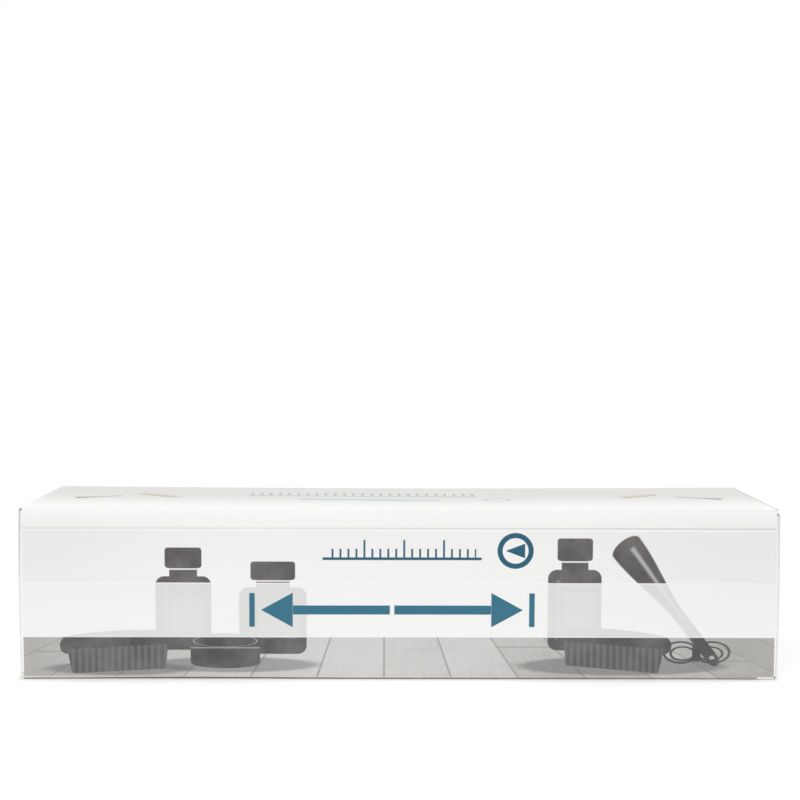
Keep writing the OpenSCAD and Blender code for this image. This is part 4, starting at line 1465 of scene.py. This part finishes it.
@dataclass
class Drive:
    """Bearing housing, centre bar, wedge, toe pin and return spring.

    Attributes:
        spring_r, wire_r: radius of the coil at the middle of its wire, and of the wire.
        turns: turns of each half of the coil.
        anchor_y, anchor_r: place and radius of the pin that each end hooks round.
    """

    spring_x: float = 26.0
    spring_z: float = 46.5
    spring_r: float = 3.2
    wire_r: float = 0.6
    pitch: float = 2.0
    turns: float = 4.5
    anchor_y: float = 12.5
    anchor_r: float = 1.25
    toe_pin: Point = (176, 0, 7.2)
    bar_bolts: Pair = (-8, 2)
    bolt_y: float = 6.7
    bolt_z: float = 15.0

    def wire(self, side: int) -> list[Vector]:
        """Points of one half of the spring: its coil, a lead-out and the loop round its pin."""
        points = []
        steps = 16
        for index in range(int(self.turns * steps) + 1):
            angle = math.tau * index / steps
            points.append(Vector((self.spring_x + self.spring_r * math.cos(angle),
                                  side * self.pitch * index / steps,
                                  self.spring_z + side * self.spring_r * math.sin(angle))))
        loop_r = self.anchor_r + self.wire_r + 0.02
        start_x = self.spring_x - self.spring_r
        start_y = side * self.pitch * self.turns
        for share in (0.35, 0.7):
            points.append(Vector((start_x + (self.spring_r - loop_r) * share ** 1.5,
                                  start_y + side * 3.5 * share, self.spring_z)))
        for index in range(15):
            angle = math.pi - math.radians(20) * index
            points.append(Vector((self.spring_x + loop_r * math.cos(angle),
                                  side * (self.anchor_y + loop_r * math.sin(angle)),
                                  self.spring_z - 0.03 * index)))
        return points

    def bolts(self) -> Iterable[tuple[Shape, Shape]]:
        """The two bolts that hold the bar, with a slotted head in front and another behind."""
        outline = [(0, 0), (0, 1.9), (0.3, 2.35), (1.2, 2.35), (1.2, 1.5), (6.5, 1.5), (6.5, 0)]
        for y, turn in ((-self.bolt_y, 35), (self.bolt_y, 120)):
            for x in self.bar_bolts:
                yield slotted(outline, (x, y, self.bolt_z), (0, -math.copysign(1, y), 0), turn, 4, 0.3)

    def build(self) -> None:
        """Make every piece of the drive."""
        eased("bearing_housing", Finish.ENAMEL, 0.9, 3)
        eased("centre_bar", Finish.PLATE, 0.3)
        eased("spreader_wedge", Finish.PLATE, 0.5)
        outline = [(-0.4, 0), (-0.4, 1.1), (-0.1, 1.5), (16.0, 1.5), (16.2, 1.3), (16.4, 0.8), (16.4, 0)]
        make("toe_pin", lathe(outline, self.toe_pin, (0, 0, 1), 40), Finish.SCREW, "stretcher_frame",
             "toe_hinge_pin")
        cut_set("bar_screws_slotted", self.bolts(), Finish.SCREW, "stretcher_frame", "bar_screws")
        for side, word in ((1, "left"), (-1, "right")):
            piece = plain_object(f"return_spring_{word}", sweep(self.wire(side), self.wire_r, 10))
            bend = ("stretcher_frame", f"half_{word}", at(self.spring_x, 0, self.spring_z),
                    at(self.spring_x, side * (self.anchor_y - 2.2), self.spring_z))
            hand_over(piece, Finish.WIRE, bend, ["return_spring"], 60)


# Stage


@dataclass
class Studio:
    """White floor, soft light and the camera.

    Attributes:
        eye: place of the camera.
        yaw, pitch, roll: how it is turned, in radians.
        shift: how far its picture is shifted up, as a share of the width.
        ambient: strength of the world's light.
        near_glow: share of the floor's own white close to the carton; it is held back under the carton and
            fades in over 7 mm round it, which paints a contact shadow there.
        lamps: name, place and target in metres, width and height, and power of each lamp.
    """

    eye: Point = (-7.78, -788.35, 179.59)
    yaw: float = 0.0101
    pitch: float = -0.0766
    roll: float = 0.0035
    lens: float = 66.78
    shift: float = 0.0462
    ambient: float = 0.62
    near_glow: float = 0.16
    lamps: tuple = (("overhead", (0.1, -0.15, 1.6), (0, 0, 0), (2.6, 2.2), 10.5),
                    ("front", (-0.5, -1.75, 1.35), (0, 0, 0.05), (2.4, 1.2), 16.0))

    def floor(self) -> None:
        """Lay a white floor that shows white to the camera and keeps the shadow, with a painted contact
        shadow where its glow is held back round the carton.
        """
        bm = bmesh.new()
        bmesh.ops.create_grid(bm, x_segments=1, y_segments=1, size=6.0)
        ground = plain_object("floor", bm)
        p = Paint("white_floor", specular_ior_level=0.0, roughness=0.9, emission_strength=1.0)
        x, y, _ = p.axes()
        far = (x * x + y * y).root().span(260.0, 620.0)
        # Painted contact shadow: the glow is off under the carton and fades in over 7 mm round it.
        clear = Plane(x, y).box((0.0, 0.0), (190.0, 50.0)).span(0.0, 7.0) * self.near_glow
        glow = p.seen() * (far * (1.0 - self.near_glow) + clear)
        plain = p.lay(far, colour("f8f8f8"), "000000")
        ground.data.materials.append(p.finish(plain, emission_color=p.grey(glow)))

    def world(self) -> None:
        """Light the object evenly from all round, and show plain white behind it."""
        world = bpy.data.worlds.new("studio")
        world.use_nodes = True
        bpy.context.scene.world = world
        ground = world.node_tree.nodes["Background"]
        ground.inputs["Color"].default_value = (1, 1, 1, 1)
        sky = Nodes(world.node_tree)
        sky.feed(ground.inputs["Strength"], sky.seen() * (1.0 - self.ambient) + self.ambient)

    @staticmethod
    def lamp(name: str, spot: Point, target: Point, size: Pair, power: float) -> None:
        """Hang one soft rectangular lamp, aimed at a target."""
        data = bpy.data.lights.new(name, "AREA")
        data.shape = "RECTANGLE"
        data.size, data.size_y = size
        data.energy = power
        lamp = bpy.data.objects.new(name, data)
        lamp.location = spot
        lamp.rotation_euler = (Vector(target) - Vector(spot)).to_track_quat("-Z", "Y").to_euler()
        bpy.context.scene.collection.objects.link(lamp)

    def camera(self) -> None:
        """Stand the camera where the photograph was taken."""
        data = bpy.data.cameras.new("camera")
        data.lens = self.lens
        data.shift_y = self.shift
        data.sensor_width = 36.0
        data.clip_start = 0.01
        data.clip_end = 50.0
        cam = bpy.data.objects.new("camera", data)
        bpy.context.scene.collection.objects.link(cam)
        level = Vector((math.sin(self.yaw), math.cos(self.yaw), 0))
        ahead = level * math.cos(self.pitch) + Vector((0, 0, math.sin(self.pitch)))
        right = Vector((math.cos(self.yaw), -math.sin(self.yaw), 0))
        up = right.cross(ahead)
        across = right * math.cos(self.roll) + up * math.sin(self.roll)
        upright = up * math.cos(self.roll) - right * math.sin(self.roll)
        turn = Matrix((across, upright, -ahead)).transposed().to_4x4()
        cam.matrix_world = Matrix.Translation(at(*self.eye)) @ turn
        bpy.context.scene.camera = cam

    def build(self) -> None:
        """Set up the floor, the light and the camera."""
        self.floor()
        self.world()
        for lamp in self.lamps:
            self.lamp(*lamp)
        self.camera()
        bpy.context.scene.view_settings.view_transform = "Standard"


def main() -> None:
    """Build the carton, the stretcher and the studio in order."""
    logging.basicConfig(level=logging.INFO, format="%(name)s: %(message)s")
    Sleeve().build()
    EndClosure(-1, 0.55).build()
    EndClosure(1, 0.85).build()
    ToeForm().build()
    Spindle().build()
    Drive().build()
    Studio().build()
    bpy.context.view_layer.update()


if __name__ == "__main__":
    main()
